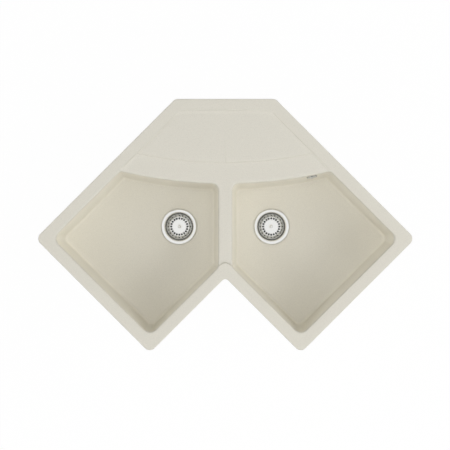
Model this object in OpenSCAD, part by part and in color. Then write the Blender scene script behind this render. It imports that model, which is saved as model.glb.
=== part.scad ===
// Corner kitchen sink with two bowls, moulded in one piece of granite composite, with its two basket
// strainers and wastes, its overflow, and the clips that hold it in the worktop.
// X runs along the front, +Y points into the wall corner and +Z up. The origin lies on the plane where
// the rim sits on the worktop, in the middle of the short back edge.

/* [Outline] */
// Length of each long side, measured along the wall from the wall corner to the tip of the wing
leg = 830; // [810:5:860]
// Depth of each wing, from the wall to its front
wing_depth = 500; // [490:5:520]
// Width of the short edge across the wall corner
back_w = 310; // [280:5:340]
// Radius of the outer corners, seen from above
corner_r = 20; // [14:1:26]
// Radius of the inner corner between the two wings, seen from above
notch_r = 13; // [8:1:20]
// Radius that rounds the upper edge of the rim
rim_edge_r = 2.5; // [1.5:0.5:4]
// Height of the rim above the worktop
rim_t = 8; // [7:0.5:10]
// Thickness of the deck below the worktop's surface, inside the cut-out
slab_t = 6; // [5:0.5:10]
// Distance from the outline to the edge of the worktop's cut-out
cutout_inset = 15; // [13:0.5:15]

/* [Bowls] */
// Width of the rim between the outline and a bowl
rim_w = 38; // [36:1:44]
// Width of the divider between the bowls
divider_w = 43; // [40:1:50]
// Distance on the centre line from the back edge to the bowls
bowl_back = 262; // [256:1:275]
// Radius of the curved back edge of the bowls
bowl_arc_r = 1390; // [1250:10:1600]
// Depth of a bowl below the rim
bowl_depth = 200; // [180:5:220]
// Lean of the bowl's walls, in degrees
draft = 4.3; // [3:0.1:5]
// Radius between a wall and the floor
floor_fillet_r = 20; // [14:1:26]
// Radius that rounds the edge between the rim and a bowl
mouth_edge_r = 6; // [4:0.5:7]
// Radius of the bowl's corners at its wing tip, its front tip and next to the divider
tip_corner_r = 25; // [20:1:32]
// Radius of the bowl's corner between the wall side and the curved back edge
side_corner_r = 15; // [12:1:20]
// Radius of the bowl's corner between the divider and the curved back edge
inner_corner_r = 20; // [15:1:28]
// Smallest corner radius, reached at the floor
floor_corner_r = 8; // [6:1:10]
// Thickness of the bowl's walls
wall_t = 9; // [8:0.5:10]
// Thickness of the floor at the waste
floor_t = 10; // [9:0.5:12]
// Fall of the floor from its edge to the waste
floor_fall = 4; // [2:0.5:6]

/* [Deck] */
// Distance from the outline to the edge of the deck's recess
deck_inset = 35; // [33:0.5:36]
// Radius of the recess's corners
deck_corner_r = 30; // [20:1:40]
// Depth of the tap ledge below the rim
ledge_drop = 1.5; // [1:0.25:2]
// Depth of the strip in front of the ledge, and of the divider's top, below the rim
strip_drop = 3; // [2.5:0.25:4]
// Distance on the centre line from the back edge to the step between ledge and strip
step_back = 198; // [185:1:210]
// Radius of the strip's front corner at the end of the divider
strip_front_r = 18; // [10:1:25]
// Width of the shallow crease down the middle of the ledge
crease_w = 10; // [6:1:14]
// Depth of the crease
crease_drop = 0.8; // [0.5:0.1:1]
// Distance from the back edge to the front edge of the plain band, where the crease starts
crease_back = 70; // [60:5:90]
// Radius of the blind tap hole that is knocked out from below
tap_hole_r = 17.5; // [16:0.5:19]
// Distance from the back edge to the tap hole
tap_back = 80; // [70:1:100]
// Thickness left over the blind tap hole
tap_skin = 4; // [3:0.5:5]
// Distance from the outline to the groove for the rim seal
seal_inset = 4; // [3:0.5:5]
// Width of the rim seal
seal_w = 6; // [4:0.5:7]
// Thickness of the rim seal
seal_t = 2; // [1.5:0.25:3]

/* [Strainers] */
// Distance of each waste from the centre line
drain_x = 146.5; // [140:0.5:155]
// Distance of each waste in front of the bowls' back edge, measured on the centre line
drain_from_back = 132.7; // [125:0.1:140]
// Radius of the waste hole
drain_hole_r = 45; // [44.5:0.5:46]
// Radius of the strainer's flange
flange_r = 56; // [54:0.5:58]
// Thickness of the flange
flange_t = 1.5; // [1:0.25:2]
// Thickness of the flange gasket
flange_gasket_t = 1.5; // [1:0.25:2]
// Inner radius of the strainer cup's mouth
mouth_r = 42.5; // [42:0.25:43]
// Depth of the shoulder that carries the basket, below the flange
shoulder_drop = 12; // [10:0.5:14]
// Width of that shoulder
shoulder_w = 2.7; // [2:0.1:3]
// Inside depth of the strainer cup
cup_depth = 51; // [48:1:58]
// Thickness of the stainless sheet
sheet_t = 1; // [0.8:0.1:1.2]
// Number of windows in the bottom of the cup
window_count = 8; // [6:1:9]
// Radius of a window
window_r = 5.5; // [4:0.5:6]
// Distance of the windows from the cup's centre
window_ring_r = 21; // [19:0.5:22]
// Width of the basket's lip
lip_w = 3.5; // [3:0.25:4]
// Depth of the basket below its lip
basket_depth = 13; // [11:0.5:16]
// Outer radius of the basket's slotted ring
slot_ring_r = 31; // [30.5:0.5:33]
// Radius of the raised disc in the middle of the basket
disc_r = 23; // [21:0.5:23.5]
// Height of the disc above the slotted ring
disc_rise = 3; // [2:0.5:5]
// Number of slots round the disc
slot_count = 20; // [16:1:22]
// Width of a slot
slot_w = 4; // [3:0.25:4.5]
// Length of a slot
slot_l = 6; // [4:0.5:6.5]
// Radius of the domed knob in the middle of the disc
knob_r = 4.5; // [4:0.25:6]
// Height of the knob
knob_h = 3; // [2:0.25:4]
// Radius of the basket's stem
stem_r = 4; // [3:0.25:5]
// Radius of the rubber seal under the basket
seal_r = 34; // [32:0.5:36]

/* [Wastes] */
// Thickness of the waste gasket under the floor
waste_gasket_t = 3; // [2:0.25:4]
// Radius of the waste body's upper flange
waste_flange_r = 57; // [54:0.5:62]
// Wall of the waste body
waste_wall = 3.5; // [3:0.25:4]
// Inner radius of the waste body's chamber
chamber_r = 44.5; // [44:0.25:44.75]
// Radius of the outlet's outside, for a one and a half inch waste nut
outlet_r = 23.9; // [23.5:0.05:24.2]
// Length of the outlet
outlet_l = 32; // [28:1:40]
// Height of the cone between the chamber and the outlet
cone_h = 18; // [14:1:24]
// Depth of the side inlet below the bowl's floor
inlet_drop = 36; // [32:1:38]
// Radius of the spigots that the overflow hose is pushed on
spigot_r = 8.2; // [7.5:0.1:8.25]
// Wall of a spigot
spigot_wall = 1.7; // [1.5:0.1:2]
// Length of the side inlet's spigot, from the chamber
inlet_l = 30; // [28:1:36]
// Radius of the waste screw
waste_screw_r = 3; // [2.5:0.5:4]

/* [Overflow] */
// Distance of the overflow from the centre line
overflow_x = 269; // [255:1:285]
// Depth of the overflow's centre below the rim
overflow_drop = 38; // [34:1:44]
// Radius of the overflow cover
cover_r = 16.5; // [16:0.5:18]
// Height of the overflow cover off the wall
cover_h = 5; // [4:0.5:6]
// Radius of the hole through the wall
overflow_hole_r = 14; // [13:0.5:14.5]
// Depth of the cover's seat in the wall
cover_seat = 0.8; // [0.6:0.1:1.5]
// Height of the flat boss behind the wall
overflow_boss = 2; // [1.5:0.25:3]
// Radius of that boss
overflow_boss_r = 22; // [21.5:0.5:24]
// Distance from the wall's face back to the elbow's downward spigot
elbow_reach = 30; // [29:1:36]
// Length of the elbow's spigot, from the elbow's axis
elbow_drop = 40; // [36:1:45]
// Length of a hose end that is pushed on its spigot
push_l = 20; // [15:1:22]
// Radius of the hose over its ribs
hose_r = 12.5; // [12:0.25:13]
// Radius of the hose between its ribs
hose_root_r = 11; // [10.75:0.25:11.25]
// Radius of the hose's bore
hose_bore_r = 9; // [8.95:0.05:9.2]
// Distance from rib to rib
rib_pitch = 5.5; // [5:0.5:9]
// Radius of the hose's bend
hose_bend_r = 60; // [50:2:70]

/* [Rim clips] */
// Distance of the clip screws from the outline
clip_inset = 22; // [21.5:0.5:22.5]
// Places of the clips along a wall side, as distances from the back corner
clip_at_wall = [150, 430];
// Place of the clip along a wing's end, as a distance from the tip
clip_at_end = 250; // [150:5:350]
// Place of the clip along a front side, as a distance from the front tip
clip_at_front = 165; // [110:5:220]
// Radius of a clip's boss under the rim
clip_boss_r = 7; // [6.5:0.25:7]
// Height of the boss below the worktop's surface
clip_boss_h = 24; // [22:1:28]
// Radius of the brass socket
socket_r = 4; // [3.75:0.25:4.5]
// Length of the brass socket
socket_l = 16; // [12:1:18]
// Radius of the clip screw
clip_screw_r = 2.5; // [2:0.25:3]
// Length of the clip screw below its socket when the clip is loose
clip_screw_l = 40; // [36:1:50]
// Length of the screw inside its socket when the clip is loose
clip_grip_l = 10; // [8:1:11]
// Travel of the clip when its screw is tightened
clip_travel = 12; // [8:1:12]
// Reach of the clip's arm from its screw to its lip
arm_reach = 34; // [30:1:38]
// Radius of the arm's round end
arm_r = 8; // [7:0.25:8]
// Thickness of the arm
arm_t = 3; // [2.5:0.25:4]
// Height of the lip that grips the worktop
lip_h = 18; // [14:1:20]

/* [Fits] */
// Radial clearance of a shaft that turns or slides in its hole
fit_gap = 0.05; // [0.02:0.01:0.1]
// Gap between a resting piece and its seat
rest_gap = 0.3; // [0.2:0.05:0.4]

/* [Hidden] */
$fn = 64;

LEFT = -1;
RIGHT = 1;
half = sqrt(0.5);
diagonal = sqrt(2);
// How far a cutting tool reaches past what it cuts
past = 1;
// Segments of a corner of the outline, of a bowl's corner, and of the bowls' curved back edge
outline_steps = 5;
bowl_steps = 6;
arc_steps = 12;
// Sides of the wide circles that cut the ledge and the strip
deck_arc_sides = 200;
// Segments of the rim's edge, of a bowl's edge, and of its floor fillet
edge_steps = 3;
mouth_steps = 4;
fillet_steps = 5;
// Loss of a bowl's corner radius for each millimetre that the wall leans in
corner_taper = 0.45;

// The outline's left half: where the back edge, the wall side, the wing's end and the front side meet
back_corner = [-back_w / 2, 0];
wing_tip = [-leg * half, back_w / 2 - leg * half];
wing_front = wing_tip + wing_depth * half * [1, -1];
notch = [0, wing_front.y - wing_front.x];

// Heights
floor_z = rim_t - bowl_depth;
underside_z = floor_z - floor_t;
arc_centre_y = bowl_arc_r - bowl_back;
step_r = arc_centre_y + step_back;
// How far the strip's cut reaches into the bowls
strip_past = 10;

// Waste: heights below the bowl's floor
drain_y = -(bowl_back + drain_from_back);
seat_drop = flange_t + flange_gasket_t;
seat_r = flange_r + 2;
sump_r = seat_r + 4;
cup_r = mouth_r + sheet_t;
well_r = mouth_r - shoulder_w;
cup_base = cup_depth + sheet_t;
lip_z = -shoulder_drop + rest_gap;
ring_z = lip_z - basket_depth;
disc_z = ring_z + disc_rise;
waste_top = floor_t + waste_gasket_t;
// Free height in the chamber below the strainer cup
chamber_spare = 10;
chamber_base = cup_base + chamber_spare;
outlet_top = chamber_base + cone_h;
outlet_base = outlet_top + outlet_l;
hub_r = 7;
// How far a gasket's edges stay inside the faces that press it
gasket_margin = 1;
// Height of the basket's rubber seal, and its thickness at the stem
seal_h = 9;
seal_grip = 3;
inlet_end = chamber_r + waste_wall + inlet_l;

// Overflow: the point on the right bowl's back wall and the direction that its axis takes into the bowl
overflow_z = rim_t - overflow_drop;
overflow_wall_r = bowl_arc_r + lean(overflow_z);
overflow_turn = asin(overflow_x / overflow_wall_r);
overflow_point = [overflow_x, arc_centre_y - overflow_wall_r * cos(overflow_turn), overflow_z];
overflow_axis = [sin(overflow_turn) * cos(draft), -cos(overflow_turn) * cos(draft), sin(draft)];
cover_t = 1.2;
overflow_screw_r = 2.5;
overflow_gasket_t = 2;
elbow_flange_t = 3;
elbow_flange_r = 21;
elbow_r = 13;
elbow_bore_r = 10;
// Depth of the hub in the elbow that takes the overflow screw, below the elbow's flange
elbow_hub_depth = 10;
boss_face = wall_t + overflow_boss;
elbow_point = overflow_point - elbow_reach * overflow_axis;

// Hose: it lies in the upright plane through the right waste and the elbow's spigot
hose_turn = atan2(elbow_point.y - drain_y, elbow_point.x - drain_x);
hose_reach = norm([elbow_point.x - drain_x, elbow_point.y - drain_y]);
hose_low_z = floor_z - inlet_drop;
hose_top_z = elbow_point.z - elbow_drop + push_l;
hose_start = inlet_end - push_l;
hose_flat_l = hose_reach - hose_bend_r - hose_start;
hose_bend_l = PI / 2 * hose_bend_r;
hose_l = hose_flat_l + hose_bend_l + hose_top_z - hose_low_z - hose_bend_r;
hose_sides = 8;
cuff_l = 2 * hose_r;
cuff_r = 11.5;
rib_count = floor((hose_l - 2 * cuff_l) / rib_pitch);

// Rim clips: [x, y, direction that points out of the sink], for both sides
left_clips = concat(
    [for (u = clip_at_wall) concat(back_corner + half * (u * [-1, -1] + clip_inset * [1, -1]), [135])],
    [concat(wing_tip + half * (clip_at_end * [1, -1] + clip_inset * [1, 1]), [225])],
    [concat(wing_front + half * (clip_at_front * [1, 1] + clip_inset * [-1, 1]), [315])]);
clip_places = concat(left_clips, [for (c = left_clips) [-c.x, c.y, 180 - c.z]]);
clip_hole_top = clip_grip_l + clip_travel + past - clip_boss_h;
clip_head_r = 6;
clip_head_h = 3.5;
arm_z = -clip_boss_h - clip_screw_l + rest_gap;

// The wall's lean inwards at height z, measured from its line on the rim's top
function lean(z) = (rim_t - z) * tan(draft);

// Points of a circle's arc from angle a to angle b
function arc(centre, r, a, b, steps) =
    [for (i = [0:steps]) let (t = a + (b - a) * i / steps) centre + r * [cos(t), sin(t)]];

// Corner p of a polygon, between neighbours q and s, rounded with radius r
function round_corner(q, p, s, r, steps) = let (
        u = (q - p) / norm(q - p),
        v = (s - p) / norm(s - p),
        half_angle = acos(u * v) / 2,
        centre = p + (u + v) / norm(u + v) * r / sin(half_angle),
        from = p + u * r / tan(half_angle) - centre,
        to = p + v * r / tan(half_angle) - centre,
        a = atan2(from.y, from.x),
        turn = (atan2(to.y, to.x) - a + 540) % 360 - 180)
    arc(centre, r, a, a + turn, steps);

// The sink's outline moved in by d, with the outer corners and the inner corner rounded. It starts in the
// middle of the back edge, from where every other point is in sight.
function outline(d, outer_r, inner_r) = let (
        back = [back_w / 2 - d * (diagonal - 1), -d],
        tip = [-wing_tip.x - d * diagonal, wing_tip.y],
        front = [-wing_front.x, wing_front.y + d * diagonal],
        p = [[-back.x, back.y], [-tip.x, tip.y], [-front.x, front.y],
            [0, notch.y + d * diagonal], front, tip, back],
        n = len(p))
    concat([[0, -d]], [for (i = [0:n - 1])
        each round_corner(p[(i + n - 1) % n], p[i], p[(i + 1) % n],
            i == 3 ? inner_r : outer_r, outline_steps)]);

function plain_outline(d) = outline(d, max(corner_r - d, 3), notch_r + d);

// A bowl's corner radius where its wall has leant in by d
function bowl_radius(r, d) = max(floor_corner_r, r - corner_taper * d);

// The left bowl's outline moved in by d. It starts at the front tip, from where every other point is in
// sight, and passes the divider's front end, the divider's back end, the curved back edge, the back corner
// at the wall side and the wing tip.
function bowl_outline(d) = let (
        ra = bowl_radius(inner_corner_r, d),
        rb = bowl_radius(side_corner_r, d),
        rc = bowl_radius(tip_corner_r, d),
        ax = -(divider_w / 2 + d + ra),
        a = [ax, arc_centre_y - sqrt((bowl_arc_r + d + ra) ^ 2 - ax ^ 2)],
        k = back_w / 2 - (rim_w + d + rb) * diagonal - arc_centre_y,
        bx = (-k - sqrt(2 * (bowl_arc_r + d + rb) ^ 2 - k ^ 2)) / 2,
        b = [bx, arc_centre_y + bx + k],
        c = wing_tip + [(rim_w + d + rc) * diagonal, 0],
        f = wing_front + [0, (rim_w + d + rc) * diagonal],
        ex = -(divider_w / 2 + d + rc),
        e = [ex, f.y + ex - f.x],
        centre = [0, arc_centre_y],
        arc_a = atan2(a.y - arc_centre_y, a.x) + 360,
        arc_b = atan2(b.y - arc_centre_y, b.x) + 360,
        back = arc(centre, bowl_arc_r + d, arc_a, arc_b, arc_steps))
    concat(arc(f, rc, 225, 315, bowl_steps),
        arc(e, rc, 315, 360, bowl_steps),
        arc(a, ra, 0, arc_a - 180, bowl_steps),
        [for (i = [1:arc_steps - 1]) back[i]],
        arc(b, rb, arc_b - 180, 135, bowl_steps),
        arc(c, rc, 135, 225, bowl_steps));

function at_height(points, z) = [for (p = points) [p.x, p.y, z]];

// A solid through rings of points, from the lowest ring to the highest. Its ends are fans of triangles
// from each ring's first point.
module loft(rings) {
    n = len(rings[0]);
    last = len(rings) - 1;
    top = last * n;
    polyhedron(
        points = [for (r = rings) each r],
        faces = concat(
            [for (i = [1:n - 2]) [0, i, i + 1]],
            [for (j = [0:last - 1]) for (i = [0:n - 1])
                let (k = (i + 1) % n) each [[j * n + i, (j + 1) * n + i, (j + 1) * n + k],
                    [j * n + i, (j + 1) * n + k, j * n + k]]],
            [for (i = [1:n - 2]) [top, top + i + 1, top + i]]));
}

// The rim: a plate over the whole outline with its upper edge rounded
module rim_plate() {
    loft(concat([at_height(plain_outline(0), 0)],
        [for (i = [0:edge_steps]) let (t = 90 * i / edge_steps, d = rim_edge_r * (1 - cos(t)))
            at_height(plain_outline(d), rim_t - rim_edge_r * (1 - sin(t)))]));
}

// The hollow of the left bowl
module bowl_hollow() {
    centre_z = floor_z + floor_fall + floor_fillet_r;
    centre_d = lean(centre_z) + floor_fillet_r / cos(draft);
    edge_z = rim_t - mouth_edge_r;
    edge_d = lean(edge_z) - mouth_edge_r / cos(draft);
    floor_edge = bowl_outline(centre_d);
    drain = [-drain_x, drain_y];
    loft(concat(
        [[for (p = floor_edge) let (u = (p - drain) / norm(p - drain))
            [drain.x + sump_r * u.x, drain.y + sump_r * u.y, floor_z]]],
        [for (i = [0:fillet_steps]) let (t = 90 - (90 - draft) * i / fillet_steps)
            at_height(bowl_outline(centre_d - floor_fillet_r * cos(t)), centre_z - floor_fillet_r * sin(t))],
        [for (i = [0:mouth_steps]) let (t = draft + (90 - draft) * i / mouth_steps)
            at_height(bowl_outline(edge_d + mouth_edge_r * cos(t)), edge_z + mouth_edge_r * sin(t))],
        [at_height(bowl_outline(edge_d), rim_t + past)]));
}

// The outside of the left bowl, from its flat underside up into the deck
module bowl_shell() {
    r = floor_fillet_r + wall_t;
    centre_z = underside_z + r;
    centre_d = lean(centre_z) + (r - wall_t) / cos(draft);
    loft(concat(
        [for (i = [0:fillet_steps]) let (t = 90 - (90 - draft) * i / fillet_steps)
            at_height(bowl_outline(centre_d - r * cos(t)), centre_z - r * sin(t))],
        [at_height(bowl_outline(lean(-slab_t / 2) - wall_t / cos(draft)), -slab_t / 2)]));
}

module both_sides() {
    children();
    mirror([1, 0, 0]) children();
}

// Deck recesses, seen from above
module deck_field() {
    polygon(outline(deck_inset, deck_corner_r, strip_front_r));
}

module ledge_field() {
    intersection() {
        deck_field();
        translate([0, arc_centre_y]) circle(r = step_r + strip_past, $fn = deck_arc_sides);
    }
}

module strip_field() {
    difference() {
        intersection() {
            deck_field();
            translate([0, arc_centre_y]) circle(r = bowl_arc_r + strip_past, $fn = deck_arc_sides);
        }
        translate([0, arc_centre_y]) circle(r = step_r, $fn = deck_arc_sides);
    }
    intersection() {
        polygon(outline(rim_w, deck_corner_r, strip_front_r));
        translate([-divider_w / 2 - strip_past, notch.y])
            square([divider_w + 2 * strip_past, -bowl_back - notch.y]);
    }
}

module cut_from_top(depth) {
    translate([0, 0, rim_t - depth]) linear_extrude(depth + past) children();
}

module ring_strip(inset, w, h) {
    linear_extrude(h) difference() {
        polygon(plain_outline(inset));
        polygon(plain_outline(inset + w));
    }
}

// Moves a piece from the overflow's own frame, where +Z points from the wall into the bowl
module at_overflow() {
    translate(overflow_point) rotate([0, 0, overflow_turn]) rotate([90 - draft, 0, 0]) children();
}

module at_clip(i) {
    translate([clip_places[i].x, clip_places[i].y, 0]) rotate([0, 0, clip_places[i].z]) children();
}

module sink_body() {
    web = rim_w - clip_inset;
    color("#D7D3C8") difference() {
        union() {
            rim_plate();
            translate([0, 0, -slab_t]) linear_extrude(slab_t + past) polygon(plain_outline(cutout_inset));
            both_sides() bowl_shell();
            at_overflow() translate([0, 0, -boss_face]) cylinder(r = overflow_boss_r, h = boss_face - past);
            for (i = [0:len(clip_places) - 1]) at_clip(i) {
                translate([0, 0, -clip_boss_h]) cylinder(r = clip_boss_r, h = clip_boss_h - past);
                translate([-web, -clip_boss_r / 2, -clip_boss_h])
                    cube([web, clip_boss_r, clip_boss_h - past]);
            }
        }
        both_sides() bowl_hollow();
        cut_from_top(ledge_drop) ledge_field();
        cut_from_top(strip_drop) strip_field();
        crease();
        both_sides() translate([-drain_x, drain_y, 0]) {
            translate([0, 0, floor_z - seat_drop]) cylinder(r = seat_r, h = seat_drop + past);
            translate([0, 0, underside_z - past]) cylinder(r = drain_hole_r, h = floor_t + past);
        }
        translate([0, -tap_back, -slab_t - past])
            cylinder(r = tap_hole_r, h = slab_t + past + rim_t - ledge_drop - tap_skin);
        translate([0, 0, -past]) ring_strip(seal_inset, seal_w, seal_t + past);
        at_overflow() {
            translate([0, 0, -boss_face - past]) cylinder(r = overflow_hole_r, h = boss_face + 3 * past);
            translate([0, 0, -cover_seat]) cylinder(r = cover_r + past, h = cover_seat + 3 * past);
        }
        for (i = [0:len(clip_places) - 1]) at_clip(i) {
            translate([0, 0, -clip_boss_h - past]) cylinder(r = socket_r + fit_gap, h = socket_l + past);
            translate([0, 0, -clip_boss_h])
                cylinder(r = clip_screw_r + past / 2, h = clip_boss_h + clip_hole_top);
        }
    }
}

// A shallow trough along the middle of the ledge
module crease() {
    r = (crease_w ^ 2 / 4 + crease_drop ^ 2) / (2 * crease_drop);
    translate([0, -crease_back, rim_t - ledge_drop - crease_drop + r])
        rotate([90, 0, 0]) cylinder(r = r, h = step_back - crease_back + strip_past);
}

module rim_seal() {
    color("#55565A") ring_strip(seal_inset + fit_gap, seal_w - 2 * fit_gap, seal_t - fit_gap);
}

// Moves a piece to a waste, where z = 0 is the bowl's floor
module at_drain(side) {
    translate([side * drain_x, drain_y, floor_z]) children();
}

module strainer_cup(side) {
    bend = 3;
    color("#D9D9D6") at_drain(side) difference() {
        rotate_extrude() polygon([
            [0, -cup_base], [well_r + sheet_t, -cup_base],
            [well_r + sheet_t, -shoulder_drop - 2 * sheet_t], [cup_r, -shoulder_drop - sheet_t / 2],
            [cup_r, -flange_t - bend], [cup_r + bend / 3, -flange_t - bend / 3], [cup_r + bend, -flange_t],
            [flange_r, -flange_t], [flange_r, -flange_t / 3], [flange_r - sheet_t, 0],
            [cup_r + bend, 0], [cup_r, -bend / 6], [mouth_r, -bend],
            [mouth_r, -shoulder_drop], [well_r, -shoulder_drop],
            [well_r, -cup_depth], [0, -cup_depth]]);
        for (i = [0:window_count - 1]) rotate([0, 0, 360 * i / window_count])
            translate([window_ring_r, 0, -cup_base - past]) cylinder(r = window_r, h = sheet_t + 2 * past);
        translate([0, 0, -cup_base - past]) cylinder(r = waste_screw_r + fit_gap, h = sheet_t + 2 * past);
    }
}

module flat_ring(outer, inner, t, top) {
    translate([0, 0, top - t]) difference() {
        cylinder(r = outer, h = t);
        translate([0, 0, -past]) cylinder(r = inner, h = t + 2 * past);
    }
}

module flange_gasket(side) {
    color("#2B2B2D") at_drain(side) flat_ring(flange_r - gasket_margin,
        drain_hole_r + 2 * gasket_margin, flange_gasket_t, -flange_t);
}

module waste_gasket(side) {
    color("#2B2B2D") at_drain(side) flat_ring(waste_flange_r - gasket_margin,
        drain_hole_r + gasket_margin, waste_gasket_t, -floor_t);
}

// The waste body's side inlet and the overflow hose point the same way on the right, mirrored on the left
function inlet_turn(side) = side == RIGHT ? hose_turn : 180 - hose_turn;

module waste_body(side) {
    outer_r = chamber_r + waste_wall;
    bore_r = outlet_r - waste_wall;
    web_t = 3;
    web_inset = 1;
    edge_h = 4;
    edge_slope = 2;
    collar_l = 6;
    color("#E4E4E0") at_drain(side) {
        difference() {
            union() {
                rotate_extrude() polygon([
                    [0, -outlet_base], [outlet_r, -outlet_base], [outlet_r, -outlet_top],
                    [outer_r, -chamber_base], [outer_r, -waste_top - edge_h - edge_slope],
                    [waste_flange_r, -waste_top - edge_h], [waste_flange_r, -waste_top], [0, -waste_top]]);
                rotate([0, 0, inlet_turn(side)]) translate([0, 0, -inlet_drop]) rotate([0, 90, 0]) {
                    cylinder(r = spigot_r, h = inlet_end);
                    cylinder(r = hose_r, h = outer_r + collar_l);
                }
            }
            rotate_extrude() polygon([
                [0, -outlet_base - past], [bore_r, -outlet_base - past], [bore_r, -outlet_top],
                [chamber_r, -chamber_base], [chamber_r, past - waste_top], [0, past - waste_top]]);
            rotate([0, 0, inlet_turn(side)]) translate([0, 0, -inlet_drop]) rotate([0, 90, 0])
                cylinder(r = spigot_r - spigot_wall, h = inlet_end + past);
        }
        difference() {
            union() {
                translate([0, 0, -outlet_top]) cylinder(r = hub_r, h = outlet_top - cup_base);
                intersection() {
                    for (a = [0, 90]) rotate([0, 0, a]) translate([-outer_r, -web_t / 2, -outlet_top])
                        cube([2 * outer_r, web_t, outlet_top - chamber_base + web_t]);
                    translate([0, 0, -outlet_top]) cylinder(r1 = outlet_r - web_inset,
                        r2 = outer_r - web_inset, h = outlet_top - chamber_base);
                }
            }
            translate([0, 0, -outlet_top + web_t])
                cylinder(r = waste_screw_r + fit_gap, h = outlet_top - cup_base);
        }
    }
}

module waste_screw(side) {
    head_h = 3;
    end_z = -outlet_top + 2 * head_h;
    color("#C9CBCC") at_drain(side) difference() {
        union() {
            translate([0, 0, -cup_depth]) cylinder(r = 2 * waste_screw_r, h = head_h);
            translate([0, 0, end_z]) cylinder(r = waste_screw_r, h = -cup_depth - end_z);
        }
        translate([0, 0, -cup_depth + head_h / 3]) cylinder(r = waste_screw_r, h = head_h, $fn = 6);
    }
}

module basket(side) {
    lip_gap = 1;
    slot_edge = 0.5;
    lip_r = mouth_r - lip_gap;
    wall_top_r = lip_r - lip_w;
    color("#CFCFCC") at_drain(side) difference() {
        rotate_extrude() polygon([
            [0, disc_z - sheet_t], [disc_r - sheet_t, disc_z - sheet_t], [disc_r - sheet_t, ring_z - sheet_t],
            [slot_ring_r + sheet_t, ring_z - sheet_t], [wall_top_r, lip_z], [lip_r, lip_z],
            [lip_r, lip_z + sheet_t], [wall_top_r - sheet_t, lip_z + sheet_t], [slot_ring_r, ring_z],
            [disc_r, ring_z], [disc_r, disc_z], [0, disc_z]]);
        for (i = [0:slot_count - 1]) rotate([0, 0, 90 + 360 * i / slot_count])
            translate([disc_r + slot_edge, -slot_w / 2, ring_z - sheet_t - past])
                cube([slot_l, slot_w, sheet_t + 2 * past]);
        translate([0, 0, disc_z - sheet_t - past])
            cylinder(r = stem_r / 2 + fit_gap, h = sheet_t + 2 * past);
    }
}

module basket_knob(side) {
    dome_r = (knob_r ^ 2 + knob_h ^ 2) / (2 * knob_h);
    color("#E2E2E0") at_drain(side) {
        translate([0, 0, disc_z]) intersection() {
            translate([0, 0, knob_h - dome_r]) sphere(r = dome_r);
            cylinder(r = knob_r, h = knob_h);
        }
        translate([0, 0, disc_z - 3 * sheet_t]) cylinder(r = stem_r / 2, h = 3 * sheet_t);
    }
}

module basket_stem(side) {
    top = disc_z - sheet_t;
    base = seal_top_z();
    color("#BFC1C2") at_drain(side) difference() {
        union() {
            translate([0, 0, base]) cylinder(r = stem_r, h = top - base);
            translate([0, 0, base - seal_grip]) cylinder(r = stem_r / 2, h = seal_grip + past);
        }
        translate([0, 0, top - 3 * sheet_t]) cylinder(r = stem_r / 2 + fit_gap, h = 3 * sheet_t + past);
    }
}

// Top of the rubber seal, which reaches down to the cup's bottom and arches over the waste screw
function seal_top_z() = -cup_depth + rest_gap + seal_h;

module basket_seal(side) {
    foot = -cup_depth + rest_gap;
    top = seal_top_z();
    lip_t = 5;
    slope = 1;
    color("#232325") at_drain(side) rotate_extrude() polygon([
        [stem_r / 2 + fit_gap, top - seal_grip], [seal_r - lip_t - slope, top - lip_t],
        [seal_r - lip_t, foot], [seal_r, foot], [seal_r - slope, foot + lip_t - slope],
        [stem_r * 2, top], [stem_r / 2 + fit_gap, top]]);
}

module left_inlet_cap() {
    cap_wall = 2.5;
    start = inlet_end - push_l;
    color("#E4E4E0") at_drain(LEFT) rotate([0, 0, inlet_turn(LEFT)]) translate([0, 0, -inlet_drop])
        rotate([0, 90, 0]) translate([0, 0, start]) difference() {
            cylinder(r = spigot_r + cap_wall, h = push_l + cap_wall);
            translate([0, 0, -past]) cylinder(r = spigot_r + fit_gap, h = push_l + past);
        }
}

module overflow_cover() {
    notch_count = 12;
    notch_w = 5;
    color("#D9D9D6") at_overflow() difference() {
        rotate_extrude() polygon([
            [overflow_screw_r + fit_gap, cover_h - cover_t], [cover_r - cover_t, cover_h - cover_t],
            [cover_r - cover_t, -cover_seat], [cover_r, -cover_seat], [cover_r, cover_h - cover_t / 2],
            [cover_r - cover_t / 2, cover_h], [overflow_screw_r + fit_gap, cover_h]]);
        for (i = [0:notch_count - 1]) rotate([0, 0, 360 * i / notch_count])
            translate([cover_r - 2 * cover_t, -notch_w / 2, cover_t / 2])
                cube([3 * cover_t, notch_w, cover_h - 2.5 * cover_t]);
    }
}

module overflow_screw() {
    head_r = 4.5;
    head_h = 1.5;
    cross_l = 5;
    cross_w = 1;
    cross_z = cover_h + 0.4 * head_h;
    end_z = -boss_face - elbow_hub_depth;
    color("#C9CBCC") at_overflow() difference() {
        union() {
            translate([0, 0, cover_h]) cylinder(r1 = head_r, r2 = head_r - 1, h = head_h);
            translate([0, 0, end_z]) cylinder(r = overflow_screw_r, h = cover_h - end_z);
        }
        for (a = [0, 90]) rotate([0, 0, a]) translate([-cross_l / 2, -cross_w / 2, cross_z])
            cube([cross_l, cross_w, head_h]);
    }
}

module overflow_gasket() {
    color("#2B2B2D") at_overflow() flat_ring(elbow_flange_r - gasket_margin,
        overflow_hole_r + gasket_margin, overflow_gasket_t, -boss_face);
}

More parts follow.
